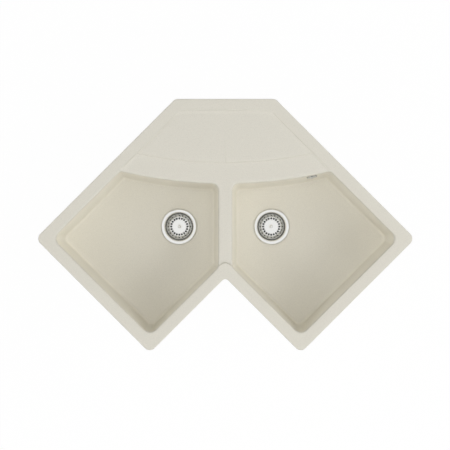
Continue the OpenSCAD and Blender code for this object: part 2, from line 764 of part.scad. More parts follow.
module overflow_elbow() {
    flange_top = -boss_face - overflow_gasket_t;
    back = -elbow_reach - elbow_r;
    cap_t = 2;
    hub_wall = 2;
    hub_h = 8;
    web_t = 3;
    web_h = 4;
    hub_z = flange_top - elbow_hub_depth;
    color("#E4E4E0") {
        difference() {
            union() {
                at_overflow() {
                    translate([0, 0, flange_top - elbow_flange_t])
                        cylinder(r = elbow_flange_r, h = elbow_flange_t);
                    translate([0, 0, back]) cylinder(r = elbow_r, h = flange_top - back - past);
                }
                translate(elbow_point - [0, 0, elbow_drop]) cylinder(r = spigot_r, h = elbow_drop);
            }
            at_overflow() translate([0, 0, back + cap_t]) cylinder(r = elbow_bore_r, h = flange_top - back);
            translate(elbow_point - [0, 0, elbow_drop + past])
                cylinder(r = spigot_r - spigot_wall, h = elbow_drop + past);
        }
        at_overflow() difference() {
            translate([0, 0, hub_z]) {
                cylinder(r = overflow_screw_r + hub_wall, h = hub_h);
                translate([-elbow_bore_r - past, -web_t / 2, 0])
                    cube([2 * (elbow_bore_r + past), web_t, web_h]);
            }
            translate([0, 0, hub_z - past]) cylinder(r = overflow_screw_r + fit_gap, h = hub_h + 2 * past);
        }
    }
}

// A place along the hose: [distance from the waste's axis, height, slope in degrees]
function hose_place(l) =
    l <= hose_flat_l ? [hose_start + l, hose_low_z, 0]
    : l <= hose_flat_l + hose_bend_l ? let (a = (l - hose_flat_l) / hose_bend_r * 180 / PI)
        [hose_reach - hose_bend_r + hose_bend_r * sin(a), hose_low_z + hose_bend_r * (1 - cos(a)), a]
    : [hose_reach, hose_low_z + hose_bend_r + l - hose_flat_l - hose_bend_l, 90];

function hose_ring(l, r) = let (p = hose_place(l))
    [for (i = [0:hose_sides - 1]) let (t = 360 * (i + 0.5) / hose_sides)
        [p[0] - r * cos(t) * sin(p[2]), r * sin(t), p[1] + r * cos(t) * cos(p[2])]];

module overflow_hose() {
    spare = (hose_l - 2 * cuff_l - rib_count * rib_pitch) / 2;
    first = cuff_l + spare;
    outside = concat([[0, cuff_r], [cuff_l, cuff_r]],
        [for (i = [0:rib_count - 1]) each
            [[first + i * rib_pitch, hose_root_r], [first + (i + 0.5) * rib_pitch, hose_r]]],
        [[hose_l - cuff_l, cuff_r], [hose_l, cuff_r]]);
    bore_steps = 8;
    bore = concat([0], [for (i = [0:bore_steps]) hose_flat_l + hose_bend_l * i / bore_steps], [hose_l]);
    n = hose_sides;
    m = len(outside);
    rings = concat([for (o = outside) hose_ring(o[0], o[1])], [for (l = bore) hose_ring(l, hose_bore_r)]);
    last = m + len(bore) - 1;
    function band(j, k) = [for (i = [0:n - 1]) let (h = (i + 1) % n) each
        [[j * n + i, j * n + h, k * n + h], [j * n + i, k * n + h, k * n + i]]];
    color("#B9BABC") translate([drain_x, drain_y, 0]) rotate([0, 0, hose_turn])
        polyhedron(points = [for (r = rings) each r],
            faces = concat(
                [for (j = [0:m - 2]) each band(j, j + 1)],
                [for (j = [m:last - 1]) each band(j + 1, j)],
                band(m, 0), band(m - 1, last)));
}

module hose_clamps() {
    band_t = 1;
    band_w = 8;
    ear_l = 5;
    module clamp() {
        rotate_extrude() translate([cuff_r + fit_gap, 0]) square([band_t, band_w]);
        translate([cuff_r + band_t / 2, -band_w / 2, 0]) cube([ear_l, band_w, band_w]);
    }
    color("#C9CBCC") {
        translate([drain_x, drain_y, hose_low_z]) rotate([0, 0, hose_turn])
            translate([hose_start + band_w / 2, 0, 0]) rotate([0, 90, 0]) clamp();
        translate([elbow_point.x, elbow_point.y, hose_top_z - 1.5 * band_w]) clamp();
    }
}

module clip_sockets() {
    color("#B8964E") for (i = [0:len(clip_places) - 1]) at_clip(i) translate([0, 0, -clip_boss_h])
        difference() {
            cylinder(r = socket_r, h = socket_l);
            translate([0, 0, -past]) cylinder(r = clip_screw_r + fit_gap, h = socket_l + 2 * past);
        }
}

module clip_screw(i) {
    washer_t = 1;
    washer_w = 1.5;
    socket_depth = 2;
    under_arm = -clip_boss_h - clip_screw_l;
    color("#C4C6C8") at_clip(i) difference() {
        union() {
            translate([0, 0, under_arm]) cylinder(r = clip_screw_r, h = clip_screw_l + clip_grip_l);
            translate([0, 0, under_arm - washer_t]) cylinder(r = clip_head_r, h = washer_t);
            translate([0, 0, under_arm - clip_head_h]) cylinder(r = clip_head_r - washer_w, h = clip_head_h);
        }
        translate([0, 0, under_arm - clip_head_h - past])
            cylinder(r = clip_screw_r, h = socket_depth + past, $fn = 6);
    }
}

// The arm lies along the rim when it is parked, and its lip stands up at the free end
module clip_arm(i) {
    lip_t = 4;
    tip_w = 12;
    gusset_h = 0.7 * lip_h;
    tooth = 2;
    color("#B9BCBF") at_clip(i) rotate([0, 0, 90]) translate([0, 0, arm_z]) difference() {
        union() {
            cylinder(r = arm_r, h = arm_t);
            linear_extrude(arm_t) polygon([
                [0, -arm_r], [arm_reach, -tip_w / 2], [arm_reach, tip_w / 2], [0, arm_r]]);
            translate([arm_reach - lip_t, -tip_w / 2, 0]) cube([lip_t, tip_w, lip_h]);
            translate([0, arm_t / 2, 0]) rotate([90, 0, 0]) linear_extrude(arm_t) polygon([
                [arm_r, arm_t / 2], [arm_reach - lip_t / 2, arm_t / 2], [arm_reach - lip_t / 2, gusset_h]]);
        }
        translate([0, 0, -past]) cylinder(r = clip_screw_r + fit_gap, h = lip_h);
        for (y = [-tip_w / 4, tip_w / 4]) translate([arm_reach - lip_t - past, y, lip_h]) rotate([45, 0, 0])
            cube([lip_t + 2 * past, tooth, tooth]);
    }
}

sink_body();
rim_seal();
strainer_cup(LEFT);  // left_strainer_cup
flange_gasket(LEFT);  // left_flange_gasket
waste_gasket(LEFT);  // left_waste_gasket
waste_body(LEFT);  // left_waste_body
waste_screw(LEFT);  // left_waste_screw
basket(LEFT);  // left_basket
basket_knob(LEFT);  // left_basket_knob
basket_stem(LEFT);  // left_basket_stem
basket_seal(LEFT);  // left_basket_seal
left_inlet_cap();
strainer_cup(RIGHT);  // right_strainer_cup
flange_gasket(RIGHT);  // right_flange_gasket
waste_gasket(RIGHT);  // right_waste_gasket
waste_body(RIGHT);  // right_waste_body
waste_screw(RIGHT);  // right_waste_screw
basket(RIGHT);  // right_basket
basket_knob(RIGHT);  // right_basket_knob
basket_stem(RIGHT);  // right_basket_stem
basket_seal(RIGHT);  // right_basket_seal
overflow_cover();
overflow_screw();
overflow_gasket();
overflow_elbow();
overflow_hose();
hose_clamps();
clip_sockets();
clip_screw(0);  // clip_screw_1
clip_screw(1);  // clip_screw_2
clip_screw(2);  // clip_screw_3
clip_screw(3);  // clip_screw_4
clip_screw(4);  // clip_screw_5
clip_screw(5);  // clip_screw_6
clip_screw(6);  // clip_screw_7
clip_screw(7);  // clip_screw_8
clip_arm(0);  // clip_arm_1
clip_arm(1);  // clip_arm_2
clip_arm(2);  // clip_arm_3
clip_arm(3);  // clip_arm_4
clip_arm(4);  // clip_arm_5
clip_arm(5);  // clip_arm_6
clip_arm(6);  // clip_arm_7
clip_arm(7);  // clip_arm_8
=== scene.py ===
"""Corner kitchen sink in pale quartz composite, with two bowls, seen from straight above."""

import math

import bmesh
import bpy
import numpy as np
from mathutils import Matrix, Vector
from mathutils.geometry import delaunay_2d_cdt


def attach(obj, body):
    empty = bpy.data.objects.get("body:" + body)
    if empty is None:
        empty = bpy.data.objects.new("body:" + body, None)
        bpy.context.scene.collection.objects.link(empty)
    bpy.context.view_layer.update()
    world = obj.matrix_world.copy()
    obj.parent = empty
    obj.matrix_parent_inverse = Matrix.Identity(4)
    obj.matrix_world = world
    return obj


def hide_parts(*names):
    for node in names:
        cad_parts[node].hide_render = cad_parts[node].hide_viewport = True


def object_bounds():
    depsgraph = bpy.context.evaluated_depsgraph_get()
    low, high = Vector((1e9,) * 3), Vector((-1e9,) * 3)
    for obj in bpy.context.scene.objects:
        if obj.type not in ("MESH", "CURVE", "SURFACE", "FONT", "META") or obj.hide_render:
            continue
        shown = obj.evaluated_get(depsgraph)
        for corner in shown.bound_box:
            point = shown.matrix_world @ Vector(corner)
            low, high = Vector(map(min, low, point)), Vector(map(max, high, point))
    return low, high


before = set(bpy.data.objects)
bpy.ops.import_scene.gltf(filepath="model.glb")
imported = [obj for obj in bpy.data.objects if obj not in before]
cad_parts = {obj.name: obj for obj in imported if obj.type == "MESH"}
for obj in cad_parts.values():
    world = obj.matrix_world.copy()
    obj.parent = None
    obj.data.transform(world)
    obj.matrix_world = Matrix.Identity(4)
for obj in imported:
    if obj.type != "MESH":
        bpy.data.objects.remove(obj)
cad_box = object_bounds()

# Camera. It hangs straight over the sink and looks down through a long lens, so the bowls' walls show only as
# narrow bands. The photograph's pixels are 3.09 mm wide at the rim.
photo_pixels = 450
pixel = 0.00309
photo_centre = (-0.0009, -0.3897)
rim_z = 0.008
camera_rise = 7.0
camera_reach = 100
sensor = 36.0


def added(name, data):
    """A new object in the scene."""
    made = bpy.data.objects.new(name, data)
    bpy.context.scene.collection.objects.link(made)
    return made


camera_data = bpy.data.cameras.new("camera")
camera_data.sensor_width = sensor
camera_data.lens = sensor * camera_rise / (photo_pixels * pixel)
camera_data.clip_end = camera_reach
camera = added("camera", camera_data)
camera.location = (*photo_centre, rim_z + camera_rise)
bpy.context.scene.camera = camera
bpy.context.scene.view_settings.view_transform = "Standard"

# Studio. A white floor lies below the sink, under a faint white sky. A soft lamp hangs overhead, in a ring of
# seven low broad lamps, of which those at the right and the left of the picture are the strongest.
floor_gap = 0.004
floor_level = cad_box[0].z - floor_gap
floor_reach = 60.0
floor_white = 1.0
floor_roughness = 0.9
floor_plain_share = 0.975
sky_fill = 0.02
overhead_size = 2.5
overhead_watts = 102
lamp_distance = 6.0
ring_size = 4.5
ring_elevation = 35
ring_watts = {0: 120, 45: 46, 135: 23, 180: 95, 225: 15, 270: 63, 315: 73}


def show_white(tree, shader, share):
    """Lets camera and mirror rays see plain white for that share of the shader."""
    rays = tree.nodes.new("ShaderNodeLightPath")
    seen = tree.nodes.new("ShaderNodeMath")
    seen.operation = "MAXIMUM"
    tree.links.new(rays.outputs["Is Camera Ray"], seen.inputs[0])
    tree.links.new(rays.outputs["Is Glossy Ray"], seen.inputs[1])
    either = tree.nodes.new("ShaderNodeMath")
    either.operation = "MAXIMUM"
    tree.links.new(seen.outputs[0], either.inputs[0])
    tree.links.new(rays.outputs["Is Transmission Ray"], either.inputs[1])
    part = tree.nodes.new("ShaderNodeMath")
    part.operation = "MULTIPLY"
    part.inputs[1].default_value = share
    tree.links.new(either.outputs[0], part.inputs[0])
    white = tree.nodes.new("ShaderNodeEmission" if shader.type != "BACKGROUND" else "ShaderNodeBackground")
    white.inputs["Strength"].default_value = 1.0
    white.inputs["Color"].default_value = (1, 1, 1, 1)
    mix = tree.nodes.new("ShaderNodeMixShader")
    tree.links.new(part.outputs[0], mix.inputs["Fac"])
    tree.links.new(shader.outputs[0], mix.inputs[1])
    tree.links.new(white.outputs[0], mix.inputs[2])
    return mix


world = bpy.data.worlds.new("sky")
bpy.context.scene.world = world
world.use_nodes = True
sky = world.node_tree.nodes["Background"]
sky.inputs["Color"].default_value = (1, 1, 1, 1)
sky.inputs["Strength"].default_value = sky_fill
sky_seen = show_white(world.node_tree, sky, 1.0)
world.node_tree.links.new(sky_seen.outputs[0], world.node_tree.nodes["World Output"].inputs["Surface"])


def soft_lamp(name, azimuth, elevation, size, watts):
    """A square lamp that shines at the sink from an azimuth and an elevation, and isn't seen in the steel."""
    light = bpy.data.lights.new(name, "AREA")
    light.size = size
    light.energy = watts
    flat = lamp_distance * math.cos(math.radians(elevation))
    towards = Vector((flat * math.cos(math.radians(azimuth)), flat * math.sin(math.radians(azimuth)),
                      lamp_distance * math.sin(math.radians(elevation))))
    holder = added(name, light)
    holder.location = Vector((*photo_centre, 0)) + towards
    holder.rotation_euler = (-towards).to_track_quat("-Z", "Y").to_euler()
    holder.visible_camera = False
    holder.visible_glossy = False


soft_lamp("overhead", 0, 90, overhead_size, overhead_watts)
for azimuth, watts in ring_watts.items():
    soft_lamp(f"ring_{azimuth}", azimuth, ring_elevation, ring_size, watts)

floor_mesh = bpy.data.meshes.new("floor")
square = ((-1, -1), (1, -1), (1, 1), (-1, 1))
floor_corners = [(x * floor_reach, y * floor_reach, floor_level) for x, y in square]
floor_mesh.from_pydata(floor_corners, [], [(0, 1, 2, 3)])
floor = added("floor", floor_mesh)
floor_finish = bpy.data.materials.new("floor_white")
floor_finish.use_nodes = True
floor_shader = floor_finish.node_tree.nodes["Principled BSDF"]
floor_shader.inputs["Base Color"].default_value = (floor_white, floor_white, floor_white, 1)
floor_shader.inputs["Roughness"].default_value = floor_roughness
floor_seen = show_white(floor_finish.node_tree, floor_shader, floor_plain_share)
floor_output = floor_finish.node_tree.nodes["Material Output"]
floor_finish.node_tree.links.new(floor_seen.outputs[0], floor_output.inputs["Surface"])
floor_mesh.materials.append(floor_finish)

# Sink body. One moulding of quartz sand and acrylic resin, with a rim that lies on the worktop, a tap ledge
# and a lower strip behind the bowls. The two five-sided bowls have walls that lean in, and a floor that falls
# to the waste.
leg = 0.830
wing_depth = 0.500
back_w = 0.310
corner_r = 0.0210
notch_r = 0.013
rim_edge_r = 0.0025
rim_w = 0.038
divider_w = 0.043
bowl_back = 0.262
bowl_arc_r = 1.390
bowl_depth = 0.200
draft = math.radians(3.6)
floor_fillet_r = 0.014
mouth_edge_r = 0.006
tip_corner_r = 0.025
side_corner_r = 0.015
inner_corner_r = 0.0208
floor_corner_r = 0.008
corner_taper = 0.45
wall_t = 0.009
floor_t = 0.010
floor_fall = 0.004
slab_t = 0.006
cutout_inset = 0.015
seal_inset = 0.004
seal_w = 0.006
seal_t = 0.002
floor_z = rim_z - bowl_depth
underside_z = floor_z - floor_t
drain = Vector((0.1465, -0.3947))
drain_hole_r = 0.045
seat_r = 0.058
seat_drop = 0.003
seat_edge = 0.0006
sump_r = 0.062

# Deck relief
deck_inset = 0.035
deck_corner_r = 0.030
strip_front_r = 0.018
ledge_drop = 0.0008
strip_drop = 0.0026
step_back = 0.1964
ledge_ramp = 0.016
strip_ramp = 0.008
step_ramp = 0.010
side_dip = 0.0022
dip_edge = 0.0006
groove_w = 0.0024
back_groove = 0.0007
strip_groove = 0.0013
step_groove = 0.0012
foot_groove = 0.0042
crease_w = 0.005
crease_drop = 0.0010
crease_back = 0.070
crease_fade = 0.004

# Mesh steps
tiny = 1e-6
merge_distance = 1e-7
least_corner_r = 0.003
clearance = 0.002
deck_grid = 0.009
across = (-0.9, -0.5, -0.25, 0, 0.25, 0.5, 0.9)
step_half_angle = 16
step_steps = 160
crease_steps = 50
batch = 400
outline_steps = 12
bowl_steps = 12
arc_steps = 60
outline_side_steps = (60, 40, 24, 24, 40, 60, 26)
bowl_side_steps = (24, 30, 34, 40)
rim_edge_steps = 5
mouth_steps = 10
wall_steps = 6
fillet_steps = 10
floor_steps = 14

half = math.sqrt(0.5)
diagonal = math.sqrt(2)
back_corner = Vector((-back_w / 2, 0))
wing_tip = Vector((-leg * half, back_w / 2 - leg * half))
wing_front = wing_tip + wing_depth * half * Vector((1, -1))
notch_y = wing_front.y - wing_front.x
arc_centre_y = bowl_arc_r - bowl_back
step_r = arc_centre_y + step_back


def lean(z):
    """How far a bowl's wall has leant in at height z."""
    return (rim_z - z) * math.tan(draft)


def arc(centre, r, start, end, steps):
    """Points of a circle's arc between two angles in degrees."""
    angles = [math.radians(start + (end - start) * i / steps) for i in range(steps + 1)]
    return [Vector((centre[0] + r * math.cos(t), centre[1] + r * math.sin(t))) for t in angles]


def circle(centre, r, steps=32):
    return arc(centre, r, 0, 360 - 360 / steps, steps - 1)


def rounded_corner(before, corner, after, r, steps):
    """The arc that rounds a corner between its two neighbours."""
    u = (before - corner).normalized()
    v = (after - corner).normalized()
    half_angle = u.angle(v) / 2
    centre = corner + (u + v).normalized() * (r / math.sin(half_angle))
    reach = r / math.tan(half_angle)
    first = corner + u * reach - centre
    last = corner + v * reach - centre
    start = math.degrees(math.atan2(first.y, first.x))
    turn = (math.degrees(math.atan2(last.y, last.x)) - start + 540) % 360 - 180
    return arc(centre, r, start, start + turn, steps)


def joined(arcs, side_steps):
    """A closed ring of arcs and the straight sides between them."""
    ring = []
    for points, following, steps in zip(arcs, arcs[1:] + arcs[:1], side_steps):
        ring += points
        ring += [points[-1].lerp(following[0], i / steps) for i in range(1, steps)]
    return ring


def outline(inset, outer_r, inner_r):
    """The sink's outline moved in, from the back left corner round by the left wing."""
    back = Vector((-back_corner.x - inset * (diagonal - 1), -inset))
    tip = Vector((-wing_tip.x - inset * diagonal, wing_tip.y))
    front = Vector((-wing_front.x, wing_front.y + inset * diagonal))
    right = [front, tip, back]
    left = [Vector((-p.x, p.y)) for p in reversed(right)]
    corners = left + [Vector((0, notch_y + inset * diagonal))] + right
    radii = [outer_r] * 3 + [inner_r] + [outer_r] * 3
    befores = corners[-1:] + corners[:-1]
    afters = corners[1:] + corners[:1]
    arcs = [rounded_corner(*places, outline_steps) for places in zip(befores, corners, afters, radii)]
    return joined(arcs, outline_side_steps)


def plain_outline(inset):
    return outline(inset, max(corner_r - inset, least_corner_r), notch_r + inset)


def bowl_outline(inset):
    """The left bowl's outline moved in by the wall's lean, from its front tip round by the divider."""
    def radius(r):
        return max(floor_corner_r, r - corner_taper * inset)

    inner_r, side_r, tip_r = radius(inner_corner_r), radius(side_corner_r), radius(tip_corner_r)
    inner_x = -(divider_w / 2 + inset + inner_r)
    inner = Vector((inner_x, arc_centre_y - math.sqrt((bowl_arc_r + inset + inner_r) ** 2 - inner_x ** 2)))
    offset = back_w / 2 - (rim_w + inset + side_r) * diagonal - arc_centre_y
    side_x = (-offset - math.sqrt(2 * (bowl_arc_r + inset + side_r) ** 2 - offset ** 2)) / 2
    side = Vector((side_x, arc_centre_y + side_x + offset))
    tip = wing_tip + Vector(((rim_w + inset + tip_r) * diagonal, 0))
    front = wing_front + Vector((0, (rim_w + inset + tip_r) * diagonal))
    divider_x = -(divider_w / 2 + inset + tip_r)
    divider = Vector((divider_x, front.y + divider_x - front.x))
    inner_angle = math.degrees(math.atan2(inner.y - arc_centre_y, inner.x)) + 360
    side_angle = math.degrees(math.atan2(side.y - arc_centre_y, side.x)) + 360
    back = arc((0, arc_centre_y), bowl_arc_r + inset, inner_angle, side_angle, arc_steps)
    back_side = arc(inner, inner_r, 0, inner_angle - 180, bowl_steps) + back[1:-1]
    back_side += arc(side, side_r, side_angle - 180, 135, bowl_steps)
    arcs = [arc(front, tip_r, 225, 315, bowl_steps), arc(divider, tip_r, 315, 360, bowl_steps), back_side,
            arc(tip, tip_r, 135, 225, bowl_steps)]
    return joined(arcs, bowl_side_steps)


def distance_inside(points, ring):
    """How far each point lies inside a closed ring, below zero outside it."""
    p = np.array(points, float).reshape(-1, 1, 2)
    a = np.array(ring, float)[None]
    b = np.roll(a, -1, axis=1)
    side = b - a
    along = np.clip(((p - a) * side).sum(2) / (side ** 2).sum(2), 0, 1)
    reach = np.sqrt((((p - a) - along[..., None] * side) ** 2).sum(2)).min(1)
    crosses = (a[..., 1] > p[..., 1]) != (b[..., 1] > p[..., 1])
    climb = np.where(side[..., 1] == 0, tiny ** 2, side[..., 1])
    right_of = p[..., 0] < a[..., 0] + (p[..., 1] - a[..., 1]) * side[..., 0] / climb
    return np.where((crosses & right_of).sum(1) % 2 == 1, reach, -reach)


def smooth(t):
    """A rise from 0 to 1 without a kink at either end."""
    t = np.clip(t, 0, 1)
    return t * t * (3 - 2 * t)


recess_ring = outline(deck_inset, deck_corner_r, strip_front_r)
front_ring = outline(rim_w, deck_corner_r, strip_front_r)


def groove(distance, depth):
    """Depth of the fine groove along a line, at a distance from it."""
    return depth * np.clip(1 - np.abs(2 * distance / groove_w), 0, 1)


def deck_height(points):
    """Height of the deck: rim, ledge with its dipped sides and its crease, strip and divider."""
    p = np.array(points, float).reshape(-1, 2)
    x, y = p[:, 0], p[:, 1]
    inside = np.where(y > -bowl_back, distance_inside(p, recess_ring), distance_inside(p, front_ring))
    step = np.hypot(x, y - arc_centre_y) - step_r
    on_strip = smooth(0.5 + step / step_ramp)
    beside = smooth((-deck_inset - groove_w - y) / ledge_ramp) * (1 - on_strip)
    z = rim_z - ledge_drop * smooth(inside / ledge_ramp)
    z -= side_dip * beside * (smooth(inside / dip_edge) - smooth(inside / ledge_ramp))
    z -= (strip_drop - ledge_drop) * on_strip * smooth(inside / strip_ramp)
    line_depth = np.where(y > -bowl_back, strip_groove, foot_groove)
    z -= groove(inside, back_groove) * (y > -deck_inset - groove_w) + groove(inside, line_depth) * on_strip
    z -= groove(step, step_groove) * smooth(inside / groove_w)
    growth = np.sqrt(np.clip((-crease_back - y) / (step_back - crease_back), 0, 1))
    growth *= smooth(0.5 - step / crease_fade)
    z -= crease_drop * np.clip(1 - np.abs(2 * x / crease_w), 0, 1) * growth
    return z


class Shell:
    """Rings of points joined into one closed surface."""

    def __init__(self):
        self.points = []
        self.faces = []

    def ring(self, flat, z):
        """Adds a ring at height z, or at a height for each of its points."""
        heights = z if hasattr(z, "__len__") else [z] * len(flat)
        first = len(self.points)
        self.points += [(p[0], p[1], h) for p, h in zip(flat, heights)]
        return list(range(first, first + len(flat)))

    def bridge(self, low, high):
        n = len(low)
        self.faces += [(low[i], low[(i + 1) % n], high[(i + 1) % n], high[i]) for i in range(n)]

    def chain(self, rings):
        for low, high in zip(rings, rings[1:]):
            self.bridge(low, high)

    def turn(self, section, steps, centre=(0, 0)):
        """Turns a closed section of (r, z) points about an upright axis."""
        rings = []
        for r, z in section:
            if r < tiny:
                rings.append([len(self.points)] * steps)
                self.points.append((*centre, z))
            else:
                rings.append(self.ring([Vector(centre) + p for p in circle((0, 0), r, steps)], z))
        for low, high in zip(rings, rings[1:] + rings[:1]):
            for i in range(steps):
                j = (i + 1) % steps
                corners = list(dict.fromkeys((low[i], low[j], high[j], high[i])))
                if len(corners) > 2:
                    self.faces.append(tuple(corners))

    def peg(self, flat, low, high):
        """An upright peg with that outline."""
        rings = [self.ring(flat, low), self.ring(flat, high)]
        self.chain(rings)
        self.faces += [tuple(reversed(rings[0])), tuple(rings[1])]

    def fill(self, border, holes, inner_points, inner_edges, height, up):
        """Triangles between a border ring and hole rings, through the inner points and edges."""
        known = [i for loop in [border, *holes] for i in loop]
        flat = [Vector(self.points[i][:2]) for i in known] + [Vector(p) for p in inner_points]
        edges, start = [], 0
        for loop in [border, *holes]:
            n = len(loop)
            edges += [(start + i, start + (i + 1) % n) for i in range(n)]
            start += n
        edges += [(start + a, start + b) for a, b in inner_edges]
        out, _, faces, origin, _, _ = delaunay_2d_cdt(flat, edges, [], 0, merge_distance)
        index = {}
        fresh = [i for i, o in enumerate(origin) if not any(k < len(known) for k in o)]
        heights = height([out[i] for i in fresh]) if fresh else []
        for i, z in zip(fresh, heights):
            index[i] = len(self.points)
            self.points.append((out[i].x, out[i].y, float(z)))
        for i, o in enumerate(origin):
            if i not in index:
                index[i] = known[min(o)]
        centres = [sum((out[i] for i in f), Vector((0, 0))) / len(f) for f in faces]
        shown = distance_inside(centres, [self.points[i][:2] for i in border]) > tiny
        for hole in holes:
            shown &= distance_inside(centres, [self.points[i][:2] for i in hole]) < -tiny
        for f, keep in zip(faces, shown):
            if keep:
                loop = [index[i] for i in f]
                self.faces.append(tuple(loop if up else reversed(loop)))

    def mesh(self, name):
        made = bpy.data.meshes.new(name)
        made.from_pydata(self.points, [], self.faces)
        made.validate()
        return made


def on_side(sign, flat):
    """A flat shape of the left bowl, mirrored to the right bowl where sign is 1."""
    return [Vector((-sign * p[0], p[1])) for p in flat]


def plane_grid(step):
    """Points of an even grid over the outline."""
    xs = np.arange(wing_tip.x, -wing_tip.x, step)
    ys = np.arange(wing_front.y, 0, step)
    return np.array([(x, y) for y in ys for x in xs])


body_shell = Shell()
edge_angles = [90 * i / rim_edge_steps for i in range(rim_edge_steps + 1)]
rim_rings = []
for t in map(math.radians, reversed(edge_angles)):
    inset = rim_edge_r * (1 - math.cos(t))
    rim_rings.append(body_shell.ring(plain_outline(inset), rim_z - rim_edge_r * (1 - math.sin(t))))
top_border = rim_rings[0]
for inset, z in ((0, 0), (seal_inset, 0), (seal_inset, seal_t), (seal_inset + seal_w, seal_t),
                 (seal_inset + seal_w, 0), (cutout_inset, 0), (cutout_inset, -slab_t)):
    rim_rings.append(body_shell.ring(plain_outline(inset), z))
under_border = rim_rings[-1]
body_shell.chain(rim_rings)

mouth_rings, shell_rings = [], []
wall_edge_z = rim_z - mouth_edge_r
wall_edge_inset = lean(wall_edge_z) - mouth_edge_r / math.cos(draft)
fillet_z = floor_z + floor_fall + floor_fillet_r
fillet_inset = lean(fillet_z) + floor_fillet_r / math.cos(draft)
outer_fillet_r = floor_fillet_r + wall_t
outer_fillet_z = underside_z + outer_fillet_r
outer_fillet_inset = lean(outer_fillet_z) + floor_fillet_r / math.cos(draft)
upright = math.radians(90)
lower_angles = [upright - (upright - draft) * i / fillet_steps for i in range(fillet_steps + 1)]
upper_angles = [draft + (upright - draft) * i / mouth_steps for i in range(mouth_steps + 1)]
for sign in (-1, 1):
    middle = Vector((sign * drain.x, drain.y))
    edge = on_side(sign, bowl_outline(wall_edge_inset))
    tops = deck_height(edge)
    rings = []
    for t in reversed(upper_angles):
        flat = on_side(sign, bowl_outline(wall_edge_inset + mouth_edge_r * math.cos(t)))
        rings.append(body_shell.ring(flat, list(tops - mouth_edge_r * (1 - math.sin(t)))))
    mouth_rings.append(rings[0])
    wall_top = wall_edge_z + mouth_edge_r * math.sin(draft)
    wall_foot = fillet_z - floor_fillet_r * math.sin(draft)
    for i in range(1, wall_steps):
        z = wall_top + (wall_foot - wall_top) * i / wall_steps
        rings.append(body_shell.ring(on_side(sign, bowl_outline(lean(z))), z))
    for t in reversed(lower_angles):
        flat = on_side(sign, bowl_outline(fillet_inset - floor_fillet_r * math.cos(t)))
        rings.append(body_shell.ring(flat, fillet_z - floor_fillet_r * math.sin(t)))
    floor_edge = on_side(sign, bowl_outline(fillet_inset))
    rays = [(p - middle).normalized() for p in floor_edge]
    for i in range(1, floor_steps + 1):
        t = i / floor_steps
        flat = [p.lerp(middle + sump_r * u, t) for p, u in zip(floor_edge, rays)]
        rings.append(body_shell.ring(flat, floor_z + floor_fall * (1 - t)))
    for r, z in ((seat_r + seat_edge, floor_z), (seat_r, floor_z - seat_edge), (seat_r, floor_z - seat_drop),
                 (drain_hole_r, floor_z - seat_drop), (drain_hole_r, underside_z)):
        rings.append(body_shell.ring([middle + r * u for u in rays], z))
    under_edge = on_side(sign, bowl_outline(outer_fillet_inset))
    for i in range(1, floor_steps + 1):
        flat = [(middle + drain_hole_r * u).lerp(p, i / floor_steps) for p, u in zip(under_edge, rays)]
        rings.append(body_shell.ring(flat, underside_z))
    for t in lower_angles[1:]:
        flat = on_side(sign, bowl_outline(outer_fillet_inset - outer_fillet_r * math.cos(t)))
        rings.append(body_shell.ring(flat, outer_fillet_z - outer_fillet_r * math.sin(t)))
    shell_top = bowl_outline(lean(-slab_t) - wall_t / math.cos(draft))
    rings.append(body_shell.ring(on_side(sign, shell_top), -slab_t))
    shell_rings.append(rings[-1])
    body_shell.chain(rings)

# The deck's faces follow rows of points along its lines, so that these stay crisp
deck_border = [body_shell.points[i][:2] for i in top_border]
mouths = [[body_shell.points[i][:2] for i in ring] for ring in mouth_rings]


def clear_of_edges(points):
    """How far each point lies inside the deck, away from its border and the bowls' mouths."""
    reach = distance_inside(points, deck_border)
    for mouth in mouths:
        reach = np.minimum(reach, -distance_inside(points, mouth))
    return reach


across_groove = [groove_w * share for share in across]
down_slope = [0.004, 0.007, 0.010, 0.013, ledge_ramp]
beside_step = [-step_ramp / 2, step_ramp / 2]
step_arc = (270 - step_half_angle, 270 + step_half_angle, step_steps)
loops = [outline(deck_inset + w, deck_corner_r, strip_front_r) for w in across_groove + down_slope]
loops += [outline(rim_w + w, deck_corner_r, strip_front_r) for w in across_groove + down_slope[:2]]
lines = [arc((0, arc_centre_y), step_r + w, *step_arc) for w in across_groove + beside_step]
for share in across:
    top, foot = (Vector((share * crease_w, y)) for y in (-crease_back, -step_back - crease_fade))
    lines.append([top.lerp(foot, i / crease_steps) for i in range(crease_steps + 1)])
row_points, row_edges = [], []
for row, closed in [(loop, True) for loop in loops] + [(line, False) for line in lines]:
    kept = {}
    for i, (p, spare) in enumerate(zip(row, clear_of_edges(row))):
        if spare > clearance:
            kept[i] = len(row_points)
            row_points.append(p)
    pairs = [(i, (i + 1) % len(row)) for i in range(len(row) if closed else len(row) - 1)]
    row_edges += [(kept[a], kept[b]) for a, b in pairs if a in kept and b in kept]
grid = plane_grid(deck_grid)
off_edges = clear_of_edges(grid)
off_rows = np.full(len(grid), 1.0)
for start in range(0, len(row_points), batch):
    some = np.array([tuple(p) for p in row_points[start:start + batch]])
    off_rows = np.minimum(off_rows, np.sqrt(((grid[:, None] - some[None]) ** 2).sum(2)).min(1))
grid = grid[(off_edges > deck_grid / 2) & (off_rows > clearance)]
deck_points = row_points + [Vector(p) for p in grid]
body_shell.fill(top_border, mouth_rings, deck_points, row_edges, deck_height, up=True)
under_grid = plane_grid(4 * deck_grid)
under_grid = under_grid[distance_inside(under_grid, plain_outline(cutout_inset)) > deck_grid]
for ring in shell_rings:
    shape = [body_shell.points[i][:2] for i in ring]
    under_grid = under_grid[distance_inside(under_grid, shape) < -deck_grid]
body_shell.fill(under_border, shell_rings, [Vector(p) for p in under_grid], [],
                lambda flat: [-slab_t] * len(flat), up=False)

sink_body = added("sink_body_fine", body_shell.mesh("sink_body_fine"))


